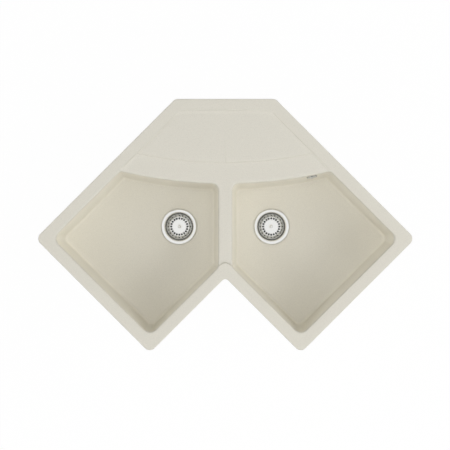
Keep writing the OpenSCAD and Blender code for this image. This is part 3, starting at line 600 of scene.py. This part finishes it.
def settle(piece, sharp=35):
    """Turns a piece's faces outwards and smooths them, except over sharp edges."""
    shape = bmesh.new()
    shape.from_mesh(piece.data)
    bmesh.ops.remove_doubles(shape, verts=shape.verts, dist=merge_distance)
    bmesh.ops.recalc_face_normals(shape, faces=shape.faces)
    for edge in shape.edges:
        edge.smooth = len(edge.link_faces) == 2 and edge.calc_face_angle(0) < math.radians(sharp)
    for face in shape.faces:
        face.smooth = True
    shape.to_mesh(piece.data)
    shape.free()


settle(sink_body)


def combine(piece, tool_mesh, operation, frame_of_tool=None):
    """Joins a tool to a piece or cuts it out of the piece."""
    tool = added("tool", tool_mesh)
    tool.matrix_world = frame_of_tool or Matrix.Translation(piece.location)
    change = piece.modifiers.new("change", "BOOLEAN")
    change.operation = operation
    change.solver = "MANIFOLD"
    change.object = tool
    bpy.context.view_layer.update()
    done = bpy.data.meshes.new_from_object(piece.evaluated_get(bpy.context.evaluated_depsgraph_get()))
    piece.modifiers.remove(change)
    done.materials.clear()
    piece.data = done
    bpy.data.objects.remove(tool)


# Under the deck are eight bosses with webs for the clips, a boss behind the overflow and a blind tap hole
clip_inset = 0.022
clip_at_wall = (0.150, 0.430)
clip_at_end = 0.250
clip_at_front = 0.165
clip_boss_r = 0.007
clip_boss_h = 0.024
socket_r = 0.004
socket_l = 0.016
clip_screw_r = 0.0025
screw_hole_top = -0.001
tap_back = 0.080
tap_hole_r = 0.0175
tap_skin = 0.0045
frame_draft = math.radians(4.3)
overflow_x = 0.269
overflow_drop = 0.038
overflow_hole_r = 0.014
overflow_boss_r = 0.022
overflow_boss_t = 0.002
cover_r = 0.0165
cover_seat = 0.0008
bite = 0.001
web_angle = 150
web_steps = 30
socket_steps = 32
hole_steps = 64

overflow_wall_r = bowl_arc_r + overflow_drop * math.tan(frame_draft)
overflow_turn = math.asin(overflow_x / overflow_wall_r)
overflow_y = arc_centre_y - overflow_wall_r * math.cos(overflow_turn)
overflow_point = Vector((overflow_x, overflow_y, rim_z - overflow_drop))
overflow_frame = (Matrix.Translation(overflow_point) @ Matrix.Rotation(overflow_turn, 4, "Z")
                  @ Matrix.Rotation(math.pi / 2 - frame_draft, 4, "X"))
left_clips = []
for u in clip_at_wall:
    left_clips.append((back_corner + half * (u * Vector((-1, -1)) + clip_inset * Vector((1, -1))), 135))
left_clips.append((wing_tip + half * (clip_at_end * Vector((1, -1)) + clip_inset * Vector((1, 1))), 225))
left_clips.append((wing_front + half * (clip_at_front * Vector((1, 1)) + clip_inset * Vector((-1, 1))), 315))
clips = left_clips + [(Vector((-p.x, p.y)), 180 - angle) for p, angle in left_clips]

clip_bosses, deck_holes = Shell(), Shell()
web_end = -(rim_w - clip_inset)
keyhole = arc((0, 0), clip_boss_r, -web_angle, web_angle, web_steps)
keyhole += [Vector((web_end, clip_boss_r / 2)), Vector((web_end, -clip_boss_r / 2))]
screw_hole_r = clip_screw_r + bite / 2
socket_mouth = -clip_boss_h - bite
socket_end = socket_l - clip_boss_h
for spot, angle in clips:
    aim = Matrix.Rotation(math.radians(angle), 2)
    clip_bosses.peg([spot + aim @ p for p in keyhole], -clip_boss_h, -bite)
    deck_holes.turn([(0, socket_mouth), (socket_r, socket_mouth), (socket_r, socket_end),
                     (screw_hole_r, socket_end), (screw_hole_r, screw_hole_top), (0, screw_hole_top)],
                    socket_steps, spot)
deck_holes.peg(circle((0, -tap_back), tap_hole_r, hole_steps), -slab_t - bite, rim_z - ledge_drop - tap_skin)
combine(sink_body, clip_bosses.mesh("clip_bosses"), "UNION")
combine(sink_body, deck_holes.mesh("deck_holes"), "DIFFERENCE")
boss_face = -wall_t - overflow_boss_t
recess_r = cover_r + bite
overflow_boss, overflow_hole = Shell(), Shell()
overflow_boss.peg(circle((0, 0), overflow_boss_r, hole_steps), boss_face, -bite)
overflow_hole.turn([(0, boss_face - bite), (overflow_hole_r, boss_face - bite),
                    (overflow_hole_r, -cover_seat), (recess_r, -cover_seat), (recess_r, 3 * bite),
                    (0, 3 * bite)], hole_steps)
combine(sink_body, overflow_boss.mesh("overflow_boss"), "UNION", overflow_frame)
combine(sink_body, overflow_hole.mesh("overflow_hole"), "DIFFERENCE", overflow_frame)
settle(sink_body)


def new_finish(name, colour, roughness, metallic=0.0):
    """A material with one shader, ready for its grain."""
    made = bpy.data.materials.new(name)
    made.use_nodes = True
    shader = made.node_tree.nodes["Principled BSDF"]
    shader.inputs["Base Color"].default_value = (*colour, 1)
    shader.inputs["Roughness"].default_value = roughness
    shader.inputs["Metallic"].default_value = metallic
    return made, shader


def texture(finish, kind, scale, stretch=(1, 1, 1), **settings):
    """A texture of that many waves to the metre, stretched along the axes."""
    tree = finish.node_tree
    coordinates = tree.nodes.new("ShaderNodeTexCoord")
    mapping = tree.nodes.new("ShaderNodeMapping")
    mapping.inputs["Scale"].default_value = stretch
    made = tree.nodes.new(kind)
    made.inputs["Scale"].default_value = scale
    for name, value in settings.items():
        made.inputs[name].default_value = value
    tree.links.new(coordinates.outputs["Object"], mapping.inputs["Vector"])
    tree.links.new(mapping.outputs["Vector"], made.inputs["Vector"])
    return made


def colours(finish, shader, source, stops):
    """Colours the surface by a texture, through stops of place and colour."""
    ramp = finish.node_tree.nodes.new("ShaderNodeValToRGB")
    while len(ramp.color_ramp.elements) < len(stops):
        ramp.color_ramp.elements.new(0.5)
    for element, (place, colour) in zip(ramp.color_ramp.elements, stops):
        element.position = place
        element.color = (*colour, 1)
    finish.node_tree.links.new(source, ramp.inputs["Fac"])
    finish.node_tree.links.new(ramp.outputs["Color"], shader.inputs["Base Color"])


def vary_roughness(finish, shader, source, low, high):
    """Roughness that follows a texture from low to high."""
    spread = finish.node_tree.nodes.new("ShaderNodeMapRange")
    spread.inputs["To Min"].default_value = low
    spread.inputs["To Max"].default_value = high
    finish.node_tree.links.new(source, spread.inputs["Value"])
    finish.node_tree.links.new(spread.outputs["Result"], shader.inputs["Roughness"])


def relief(finish, shader, source, depth):
    """Raises the surface by a texture, to that many metres."""
    bump = finish.node_tree.nodes.new("ShaderNodeBump")
    bump.inputs["Distance"].default_value = depth
    bump.inputs["Strength"].default_value = 1.0
    finish.node_tree.links.new(source, bump.inputs["Height"])
    finish.node_tree.links.new(bump.outputs["Normal"], shader.inputs["Normal"])


def toned(colour, amount):
    """A colour made that much lighter or darker."""
    return tuple(min(1.0, c * amount) for c in colour)


cream = (0.749, 0.722, 0.638)
# Painted light: how much paler the bowls' walls are coloured, and where that paler colour fades in and out
painted_wall_light = 1.20
wall_foot_share = 0.45
foot_fade = (-0.0002, 0.0036)
mouth_fade = (0.012, 0.004)
composite, composite_shader = new_finish("cream_composite", cream, 0.5)
sand = texture(composite, "ShaderNodeTexVoronoi", 900)
colours(composite, composite_shader, sand.outputs["Color"],
        [(0.0, toned(cream, 0.86)), (0.18, toned(cream, 0.97)), (0.5, cream), (0.85, toned(cream, 1.03)),
         (1.0, toned(cream, 1.12))])
skin = texture(composite, "ShaderNodeTexNoise", 1300, Detail=3.0)
vary_roughness(composite, composite_shader, skin.outputs["Fac"], 0.42, 0.62)
relief(composite, composite_shader, skin.outputs["Fac"], 0.00006)

# Painted light: the bowls' walls and the curve at their foot are coloured paler than the flats, more so
# higher up and fading out at the mouth, standing in for light that reaches them
composite_tree = composite.node_tree
position = composite_tree.nodes.new("ShaderNodeTexCoord")
height = composite_tree.nodes.new("ShaderNodeSeparateXYZ")
composite_tree.links.new(position.outputs["Object"], height.inputs["Vector"])
floor_edge_z = floor_z + floor_fall
painted_light_fades = ((floor_edge_z + foot_fade[0], floor_edge_z + foot_fade[1], 0, 1),
              (floor_edge_z, rim_z - mouth_fade[0], wall_foot_share, 1),
              (rim_z - mouth_fade[0], rim_z - mouth_fade[1], 1, 0))
fades = []
for low, high, below, above in painted_light_fades:
    fade = composite_tree.nodes.new("ShaderNodeMapRange")
    fade.interpolation_type = "SMOOTHSTEP"
    for socket, value in (("From Min", low), ("From Max", high), ("To Min", below), ("To Max", above)):
        fade.inputs[socket].default_value = value
    composite_tree.links.new(height.outputs["Z"], fade.inputs["Value"])
    fades.append(fade.outputs["Result"])
painted_light_share = fades[0]
for share in fades[1:]:
    product = composite_tree.nodes.new("ShaderNodeMath")
    product.operation = "MULTIPLY"
    composite_tree.links.new(painted_light_share, product.inputs[0])
    composite_tree.links.new(share, product.inputs[1])
    painted_light_share = product.outputs[0]
painted_light_gain = composite_tree.nodes.new("ShaderNodeMath")
painted_light_gain.operation = "MULTIPLY_ADD"
painted_light_gain.inputs[1].default_value = painted_wall_light - 1
painted_light_gain.inputs[2].default_value = 1.0
composite_tree.links.new(painted_light_share, painted_light_gain.inputs[0])
# Scales the grain's colour up on the walls, as painted light
painted_light_base = composite_tree.nodes.new("ShaderNodeVectorMath")
painted_light_base.operation = "SCALE"
composite_tree.links.new(composite_shader.inputs["Base Color"].links[0].from_socket, painted_light_base.inputs[0])
composite_tree.links.new(painted_light_gain.outputs[0], painted_light_base.inputs["Scale"])
composite_tree.links.new(painted_light_base.outputs["Vector"], composite_shader.inputs["Base Color"])
sink_body.data.materials.append(composite)
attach(sink_body, "sink")
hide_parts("sink_body")

# Strainers. A cup pressed from polished stainless sheet hangs in each waste hole by its flange, over a rubber
# gasket. Its inside is coloured dark steel as painted shade, and its bottom near-black as painted shadow. A
# screw through its bottom clamps it to the waste body below.
flange_r = 0.056
flange_t = 0.0015
cup_depth = 0.051
sheet_t = 0.001
well_r = 0.0398
window_count = 8
window_r = 0.0055
window_ring_r = 0.021
waste_screw_r = 0.003
screw_play = 0.00005
# Painted shade: below this height and inside this radius the cup is coloured dark steel
painted_shade_below = -0.0030
painted_shade_r = 0.0440
# Painted shadow: below this height the cup's bottom is coloured nearly black
painted_shadow_below = -0.0260
turned_steps = 128
ease_steps = 5
ease_share = 0.48
wastes = {"left": (-drain.x, drain.y, floor_z), "right": (drain.x, drain.y, floor_z)}


def eased(profile, radii):
    """A polyline of (r, z) points with each inner corner rounded by its radius."""
    points = [Vector(p) for p in profile]
    line = [points[0]]
    for before, corner, after, r in zip(points, points[1:], points[2:], radii):
        u, v = (before - corner), (after - corner)
        half_angle = u.angle(v) / 2
        r = min(r, ease_share * min(u.length, v.length) * math.tan(half_angle))
        line += rounded_corner(before, corner, after, r, ease_steps)
    return line + [points[-1]]


def sheet_section(line, thickness):
    """The closed section of a sheet whose visible face follows the line from its outer end to the axis."""
    under = []
    for i, p in enumerate(line):
        ahead = line[min(i + 1, len(line) - 1)] - line[max(i - 1, 0)]
        inward = Vector((-ahead.y, ahead.x)).normalized()
        foot = p + inward * thickness
        under.append(Vector((max(foot.x, 0) if p.x > tiny else 0, foot.y)))
    return line + under[::-1]


def turned(name, section, location, steps=turned_steps):
    """A piece turned about an upright axis through its location, from a closed section of (r, z) points."""
    shape = Shell()
    shape.turn(section, steps)
    piece = added(name, shape.mesh(name))
    piece.location = location
    settle(piece)
    return piece


def drilled(piece, outlines, low, high):
    """Cuts upright holes with those outlines through a piece."""
    tool = Shell()
    for flat in outlines:
        tool.peg(flat, low, high)
    combine(piece, tool.mesh("holes"), "DIFFERENCE")
    settle(piece)


def refinish(piece, finish, chosen):
    """Gives another finish to the faces whose middle (r, z) is chosen."""
    piece.data.materials.append(finish)
    last = len(piece.data.materials) - 1
    for face in piece.data.polygons:
        if chosen(math.hypot(face.center.x, face.center.y), face.center.z):
            face.material_index = last


def on_ring(count, r, turn=0.0):
    """Places spread evenly round the axis, with the direction of each."""
    angles = [turn + math.tau * i / count for i in range(count)]
    return [(Vector((r * math.cos(a), r * math.sin(a))), a) for a in angles]


def mottled(name, metallic, scale, stops, rough, stretch=(1, 1, 1), depth=0, **settings):
    """A finish with soft patches, which differ in colour by the stops and in roughness from low to high."""
    finish, shader = new_finish(name, stops[1][1], rough[0], metallic)
    patches = texture(finish, "ShaderNodeTexNoise", scale, stretch, **settings).outputs["Fac"]
    colours(finish, shader, patches, stops)
    vary_roughness(finish, shader, patches, *rough)
    if depth:
        relief(finish, shader, patches, depth)
    return finish


polished_steel, polished_shader = new_finish("polished_steel", (0.82, 0.82, 0.80), 0.16, 1.0)
turning_marks = texture(polished_steel, "ShaderNodeTexNoise", 260, stretch=(1, 1, 6), Detail=4.0)
vary_roughness(polished_steel, polished_shader, turning_marks.outputs["Fac"], 0.12, 0.26)
relief(polished_steel, polished_shader, turning_marks.outputs["Fac"], 0.00001)
# Painted shade: a steel far darker than stainless, for the cup's inside where shade falls
painted_shade_steel = mottled("painted_shade_steel", 1.0, 180,
                     [(0.3, (0.10, 0.10, 0.095)), (0.55, (0.20, 0.20, 0.19)), (0.75, (0.30, 0.30, 0.285))],
                     (0.34, 0.50), stretch=(1, 1, 8), Detail=4.0)
# Painted shadow: nearly black steel for the cup's bottom, which shows through the basket's slots
painted_shadow_steel = mottled("painted_shadow_steel", 1.0, 120,
                        [(0.35, (0.020, 0.019, 0.016)), (0.65, (0.055, 0.052, 0.045))],
                        (0.50, 0.70), Detail=3.0)

cup_line = eased([(flange_r, -flange_t), (flange_r - 0.0002, -0.0009), (0.0528, 0), (0.0500, 0),
                  (0.0462, -0.0013), (0.0440, -0.0034), (0.0429, -0.0062), (0.0428, -0.0120),
                  (well_r, -0.0123), (well_r, -cup_depth), (0, -cup_depth)],
                 [0.0006, 0.004, 0.006, 0.005, 0.004, 0.004, 0.001, 0.001, 0.004])
for side, waste in wastes.items():
    cup = turned(side + "_strainer_cup_fine", sheet_section(cup_line, sheet_t), waste)
    windows = [circle(p, window_r) for p, _ in on_ring(window_count, window_ring_r)]
    windows.append(circle((0, 0), waste_screw_r + screw_play))
    drilled(cup, windows, -cup_depth - 3 * sheet_t, -cup_depth + 3 * sheet_t)
    cup.data.materials.append(polished_steel)
    # Painted shade on the cup's inside below the mouth, and painted shadow on its bottom
    refinish(cup, painted_shade_steel, lambda r, z: z < painted_shade_below and r < painted_shade_r)
    refinish(cup, painted_shadow_steel, lambda r, z: z < painted_shadow_below and r < well_r + sheet_t / 2)
    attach(cup, "sink")
    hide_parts(side + "_strainer_cup")

# Baskets. Each is pressed from stainless sheet and lifts out of its cup by a domed knob. A slotted ring goes
# round its bright raised disc, and small holes go round its sloping wall. The stem below it carries a seal.
slot_count = 20
slot_w = 0.0060
slot_start = 0.0231
slot_end = 0.0294
wall_hole_count = 20
wall_hole_r = 0.0017
wall_hole_ring_r = 0.0352
wall_hole_top = -0.0130
disc_r = 0.0230
disc_z = -0.0217
disc_edge = 0.0005
ring_z = -0.0247
lip_r = 0.0400
knob_r = 0.0045
knob_h = 0.0030
knob_foot_h = 0.0007
knob_foot_r = 0.0036
knob_steps = 15
knob_sides = 48
slot_end_steps = 8
wall_hole_sides = 16


def slot_shape(angle, start, end, width):
    """A slot with round ends that points away from the axis."""
    out = Vector((math.cos(angle), math.sin(angle)))
    turn = math.degrees(angle)
    far = arc(out * (end - width / 2), width / 2, turn - 90, turn + 90, slot_end_steps)
    near = arc(out * (start + width / 2), width / 2, turn + 90, turn + 270, slot_end_steps)
    return far + near


# Partly wear, partly painted reflection and shade: dark and bright patches on the basket outside its disc
wear_and_painted_reflection_steel = mottled("wear_and_painted_reflection_steel", 1.0, 150,
                     [(0.30, (0.44, 0.44, 0.42)), (0.44, (0.80, 0.80, 0.78)), (0.56, (0.92, 0.92, 0.90)),
                      (0.70, (0.97, 0.97, 0.95))],
                     (0.34, 0.54), depth=0.00004, Detail=3.0, Distortion=1.2)

basket_line = eased([(lip_r, -0.0120), (lip_r - 0.0001, -0.0110), (lip_r - 0.0008, -0.0107),
                     (0.0382, -0.0126), (0.0370, -0.0155), (0.0348, -0.0198), (0.0326, -0.0230),
                     (0.0306, ring_z), (disc_r, ring_z), (disc_r - disc_edge, disc_z), (0.0068, disc_z),
                     (0.0055, disc_z + disc_edge), (0, disc_z + disc_edge)],
                    [0.0004, 0.0004, 0.002, 0.004, 0.004, 0.004, 0.002, 0.0003, 0.0004, 0.001, 0.001])
knob_line = []
for i in range(knob_steps + 1):
    a = math.radians(90 * i / knob_steps)
    dome = (knob_h - knob_foot_h) * math.cos(a)
    knob_line.append(Vector((knob_r * math.sin(a), disc_z + knob_foot_h + dome)))
knob_line += [Vector((knob_foot_r, disc_z + disc_edge)), Vector((knob_foot_r, disc_z)), Vector((0, disc_z))]
for side, waste in wastes.items():
    basket = turned(side + "_basket_fine", sheet_section(basket_line, sheet_t), waste)
    slots = [slot_shape(a, slot_start, slot_end, slot_w) for _, a in on_ring(slot_count, 1, math.pi / 2)]
    drilled(basket, slots, ring_z - 4 * sheet_t, ring_z + sheet_t)
    hole_places = on_ring(wall_hole_count, wall_hole_ring_r, math.pi / 2)
    wall_holes = [circle(p, wall_hole_r, wall_hole_sides) for p, _ in hole_places]
    drilled(basket, wall_holes, ring_z - 5 * sheet_t, wall_hole_top)
    basket.data.materials.append(wear_and_painted_reflection_steel)
    refinish(basket, polished_steel, lambda r, z: r < disc_r - disc_edge / 2)
    knob = turned(side + "_basket_knob_fine", knob_line, waste, knob_sides)
    knob.data.materials.append(polished_steel)
    for piece, node, slot in ((basket, "basket", "basket_steel"), (knob, "basket_knob", "stainless")):
        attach(piece, side + "_basket_body")
        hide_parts(f"{side}_{node}")

# Gaskets and seals. Black rubber rings are squeezed under each flange and under each bowl's floor, behind the
# overflow, and round each basket's stem, where they close the cup when the basket is pushed down.
rubber = mottled("black_rubber_finish", 0.0, 240,
                 [(0.35, (0.016, 0.016, 0.017)), (0.55, (0.024, 0.024, 0.025)),
                  (0.75, (0.045, 0.045, 0.044))],
                 (0.50, 0.72), depth=0.00003, Detail=4.0)


def dress(finish, *nodes):
    """Gives a finish to pieces that keep the shape they have in the frame."""
    for node in nodes:
        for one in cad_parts[node].material_slots:
            one.material = finish


dress(rubber, "overflow_gasket")
for side in wastes:
    dress(rubber, side + "_flange_gasket", side + "_waste_gasket", side + "_basket_seal")

# Rim seal. A strip of dark grey foam is stuck into the groove under the rim, and the clips press it on the
# worktop.
foam, foam_shader = new_finish("seal_foam_finish", (0.085, 0.087, 0.092), 0.9)
cells = texture(foam, "ShaderNodeTexVoronoi", 1600)
colours(foam, foam_shader, cells.outputs["Distance"],
        [(0.0, (0.050, 0.051, 0.054)), (0.35, (0.085, 0.087, 0.092)), (0.8, (0.120, 0.122, 0.128))])
relief(foam, foam_shader, cells.outputs["Distance"], 0.0002)
dress(foam, "rim_seal")

# Wastes. Each is a moulded plastic chamber with a threaded outlet and a side inlet, pulled up against the
# bowl by the long screw through the cup. The left inlet isn't used and has a cap. The overflow's elbow behind
# the right bowl is of the same plastic.
plastic, plastic_shader = new_finish("waste_plastic_finish", (0.74, 0.745, 0.73), 0.38)
moulding = texture(plastic, "ShaderNodeTexNoise", 90, Detail=3.0)
colours(plastic, plastic_shader, moulding.outputs["Fac"],
        [(0.3, (0.70, 0.705, 0.69)), (0.5, (0.745, 0.75, 0.735)), (0.7, (0.77, 0.775, 0.765))])
grain = texture(plastic, "ShaderNodeTexNoise", 1100, Detail=2.0)
vary_roughness(plastic, plastic_shader, grain.outputs["Fac"], 0.30, 0.46)
relief(plastic, plastic_shader, grain.outputs["Fac"], 0.00003)
dress(plastic, "left_waste_body", "right_waste_body", "left_inlet_cap", "overflow_elbow")

# Screws and stems. The screws through the cups and the overflow's cover, and the stems under the baskets, are
# turned from stainless rod.
rod_steel = mottled("rod_steel", 1.0, 300,
                    [(0.3, (0.48, 0.485, 0.49)), (0.5, (0.60, 0.605, 0.61)), (0.7, (0.68, 0.685, 0.69))],
                    (0.22, 0.38), stretch=(1, 1, 7), Detail=4.0)
dress(rod_steel, "overflow_screw")
for side in wastes:
    dress(rod_steel, side + "_waste_screw", side + "_basket_stem")

# Overflow cover. A small pressed stainless cap with notches round its side stands in a recess of the right
# bowl's back wall, and the screw through its middle pulls the elbow behind the wall up to it.
cover_h = 0.005
cover_t = 0.0012
notch_count = 8
notch_w = 0.0088
notch_top = 0.00296
cover_screw_r = 0.0025
cover_sides = 96
cap_steel = mottled("cap_steel", 1.0, 350,
                    [(0.3, (0.54, 0.54, 0.52)), (0.5, (0.66, 0.66, 0.64)), (0.72, (0.76, 0.76, 0.74))],
                    (0.24, 0.42), Detail=4.0)
cover_hole_r = cover_screw_r + screw_play
cover_line = eased([(cover_r, -cover_seat), (cover_r, cover_h), (cover_hole_r, cover_h)], [0.0022])
cover_section = cover_line + [Vector((cover_hole_r, cover_h - cover_t))]
for p in cover_line[-2::-1]:
    cover_section.append(Vector((p.x - cover_t, p.y - (cover_t if p.y > cover_t else 0))))
cover = turned("overflow_cover_fine", cover_section, (0, 0, 0), cover_sides)
notch_corners = [Vector((x * 2 * cover_t, y * notch_w / 2)) for x, y in square]
notches = Shell()
for spot, angle in on_ring(notch_count, cover_r, math.pi / 2):
    aim = Matrix.Rotation(angle, 2)
    notches.peg([spot + aim @ p for p in notch_corners], -cover_seat / 2, notch_top)
combine(cover, notches.mesh("notches"), "DIFFERENCE")
settle(cover)
cover.matrix_world = overflow_frame
cover.data.materials.append(cap_steel)
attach(cover, "sink")
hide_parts("overflow_cover")

# Overflow hose. A ribbed plastic hose is pushed over the elbow and over the right waste's inlet, and a steel
# band with an ear is squeezed shut round each of its smooth ends.
hose_sides = 32
hose_r = 0.0125
hose_root_r = 0.0110
hose_bore_r = 0.0090
cuff_r = 0.0115
cuff_l = 0.025
rib_pitch = 0.0055
rib_steps = 6
bend_steps = 12
bend_r = 0.060
push_l = 0.020
elbow_reach = 0.030
elbow_drop = 0.040
chamber_r = 0.0445
chamber_wall = 0.0035
inlet_l = 0.030
inlet_drop = 0.036
hose_grey = mottled("hose_grey", 0.0, 120,
                    [(0.3, (0.41, 0.42, 0.43)), (0.5, (0.46, 0.47, 0.48)), (0.7, (0.52, 0.53, 0.54))],
                    (0.36, 0.54), Detail=3.0)
elbow_point = overflow_frame @ Vector((0, 0, -elbow_reach))
reach = Vector((elbow_point.x - drain.x, elbow_point.y - drain.y))
ahead = reach.normalized()
aside = Vector((-reach.y, reach.x)).normalized()
hose_low = floor_z - inlet_drop
hose_start = chamber_r + chamber_wall + inlet_l - push_l
flat_l = reach.length - bend_r - hose_start
bend_l = math.pi / 2 * bend_r
hose_top = elbow_point.z - elbow_drop + push_l
hose_l = flat_l + bend_l + hose_top - hose_low - bend_r


def hose_ring(shell, along, r):
    """A ring round the hose, at a length along it from the waste's inlet."""
    turn = min(max((along - flat_l) / bend_r, 0), math.pi / 2)
    out = hose_start + min(along, flat_l) + bend_r * math.sin(turn)
    up = hose_low + bend_r * (1 - math.cos(turn)) + max(along - flat_l - bend_l, 0)
    first = len(shell.points)
    for i in range(hose_sides):
        t = math.tau * i / hose_sides
        level = r * math.cos(t)
        flat = drain + ahead * (out - level * math.sin(turn)) + r * math.sin(t) * aside
        shell.points.append((flat.x, flat.y, up + level * math.cos(turn)))
    return list(range(first, first + hose_sides))


rib_count = math.floor((hose_l - 2 * cuff_l) / rib_pitch)
rib_start = cuff_l + (hose_l - 2 * cuff_l - rib_count * rib_pitch) / 2
hose_outside = [(0, cuff_r), (cuff_l, cuff_r)]
for i in range(rib_count):
    for k in range(rib_steps):
        swell = (1 - math.cos(math.tau * k / rib_steps)) / 2
        along = rib_start + (i + k / rib_steps) * rib_pitch
        hose_outside.append((along, hose_root_r + (hose_r - hose_root_r) * swell))
hose_outside += [(hose_l - cuff_l, cuff_r), (hose_l, cuff_r)]
bore_places = [0] + [flat_l + bend_l * i / bend_steps for i in range(bend_steps + 1)] + [hose_l]
hose_shell = Shell()
hose_rings = [hose_ring(hose_shell, along, r) for along, r in hose_outside]
hose_rings += [hose_ring(hose_shell, along, hose_bore_r) for along in reversed(bore_places)]
hose_shell.chain(hose_rings + hose_rings[:1])
hose = added("overflow_hose_fine", hose_shell.mesh("overflow_hose_fine"))
settle(hose, 60)
hose.data.materials.append(hose_grey)
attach(hose, "sink")
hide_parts("overflow_hose")
dress(rod_steel, "hose_clamps")

# Rim clips. Eight brass sockets are moulded into the bosses under the rim. In each turns a long zinc-plated
# screw with an arm that grips the worktop from below. Here the arms lie along the rim, as before fitting.
brass = mottled("brass_finish", 1.0, 260,
                [(0.3, (0.46, 0.33, 0.15)), (0.5, (0.66, 0.50, 0.24)), (0.7, (0.76, 0.60, 0.32))],
                (0.24, 0.42), Detail=4.0)
dress(brass, "clip_sockets")
zinc, zinc_shader = new_finish("zinc_plate", (0.42, 0.43, 0.445), 0.40, 1.0)
spangle = texture(zinc, "ShaderNodeTexVoronoi", 420)
colours(zinc, zinc_shader, spangle.outputs["Color"],
        [(0.1, (0.34, 0.35, 0.365)), (0.5, (0.42, 0.43, 0.445)), (0.9, (0.50, 0.51, 0.52))])
handling = texture(zinc, "ShaderNodeTexNoise", 200, Detail=4.0)
vary_roughness(zinc, zinc_shader, handling.outputs["Fac"], 0.32, 0.50)
for n in range(1, len(clips) + 1):
    dress(zinc, f"clip_screw_{n}", f"clip_arm_{n}")
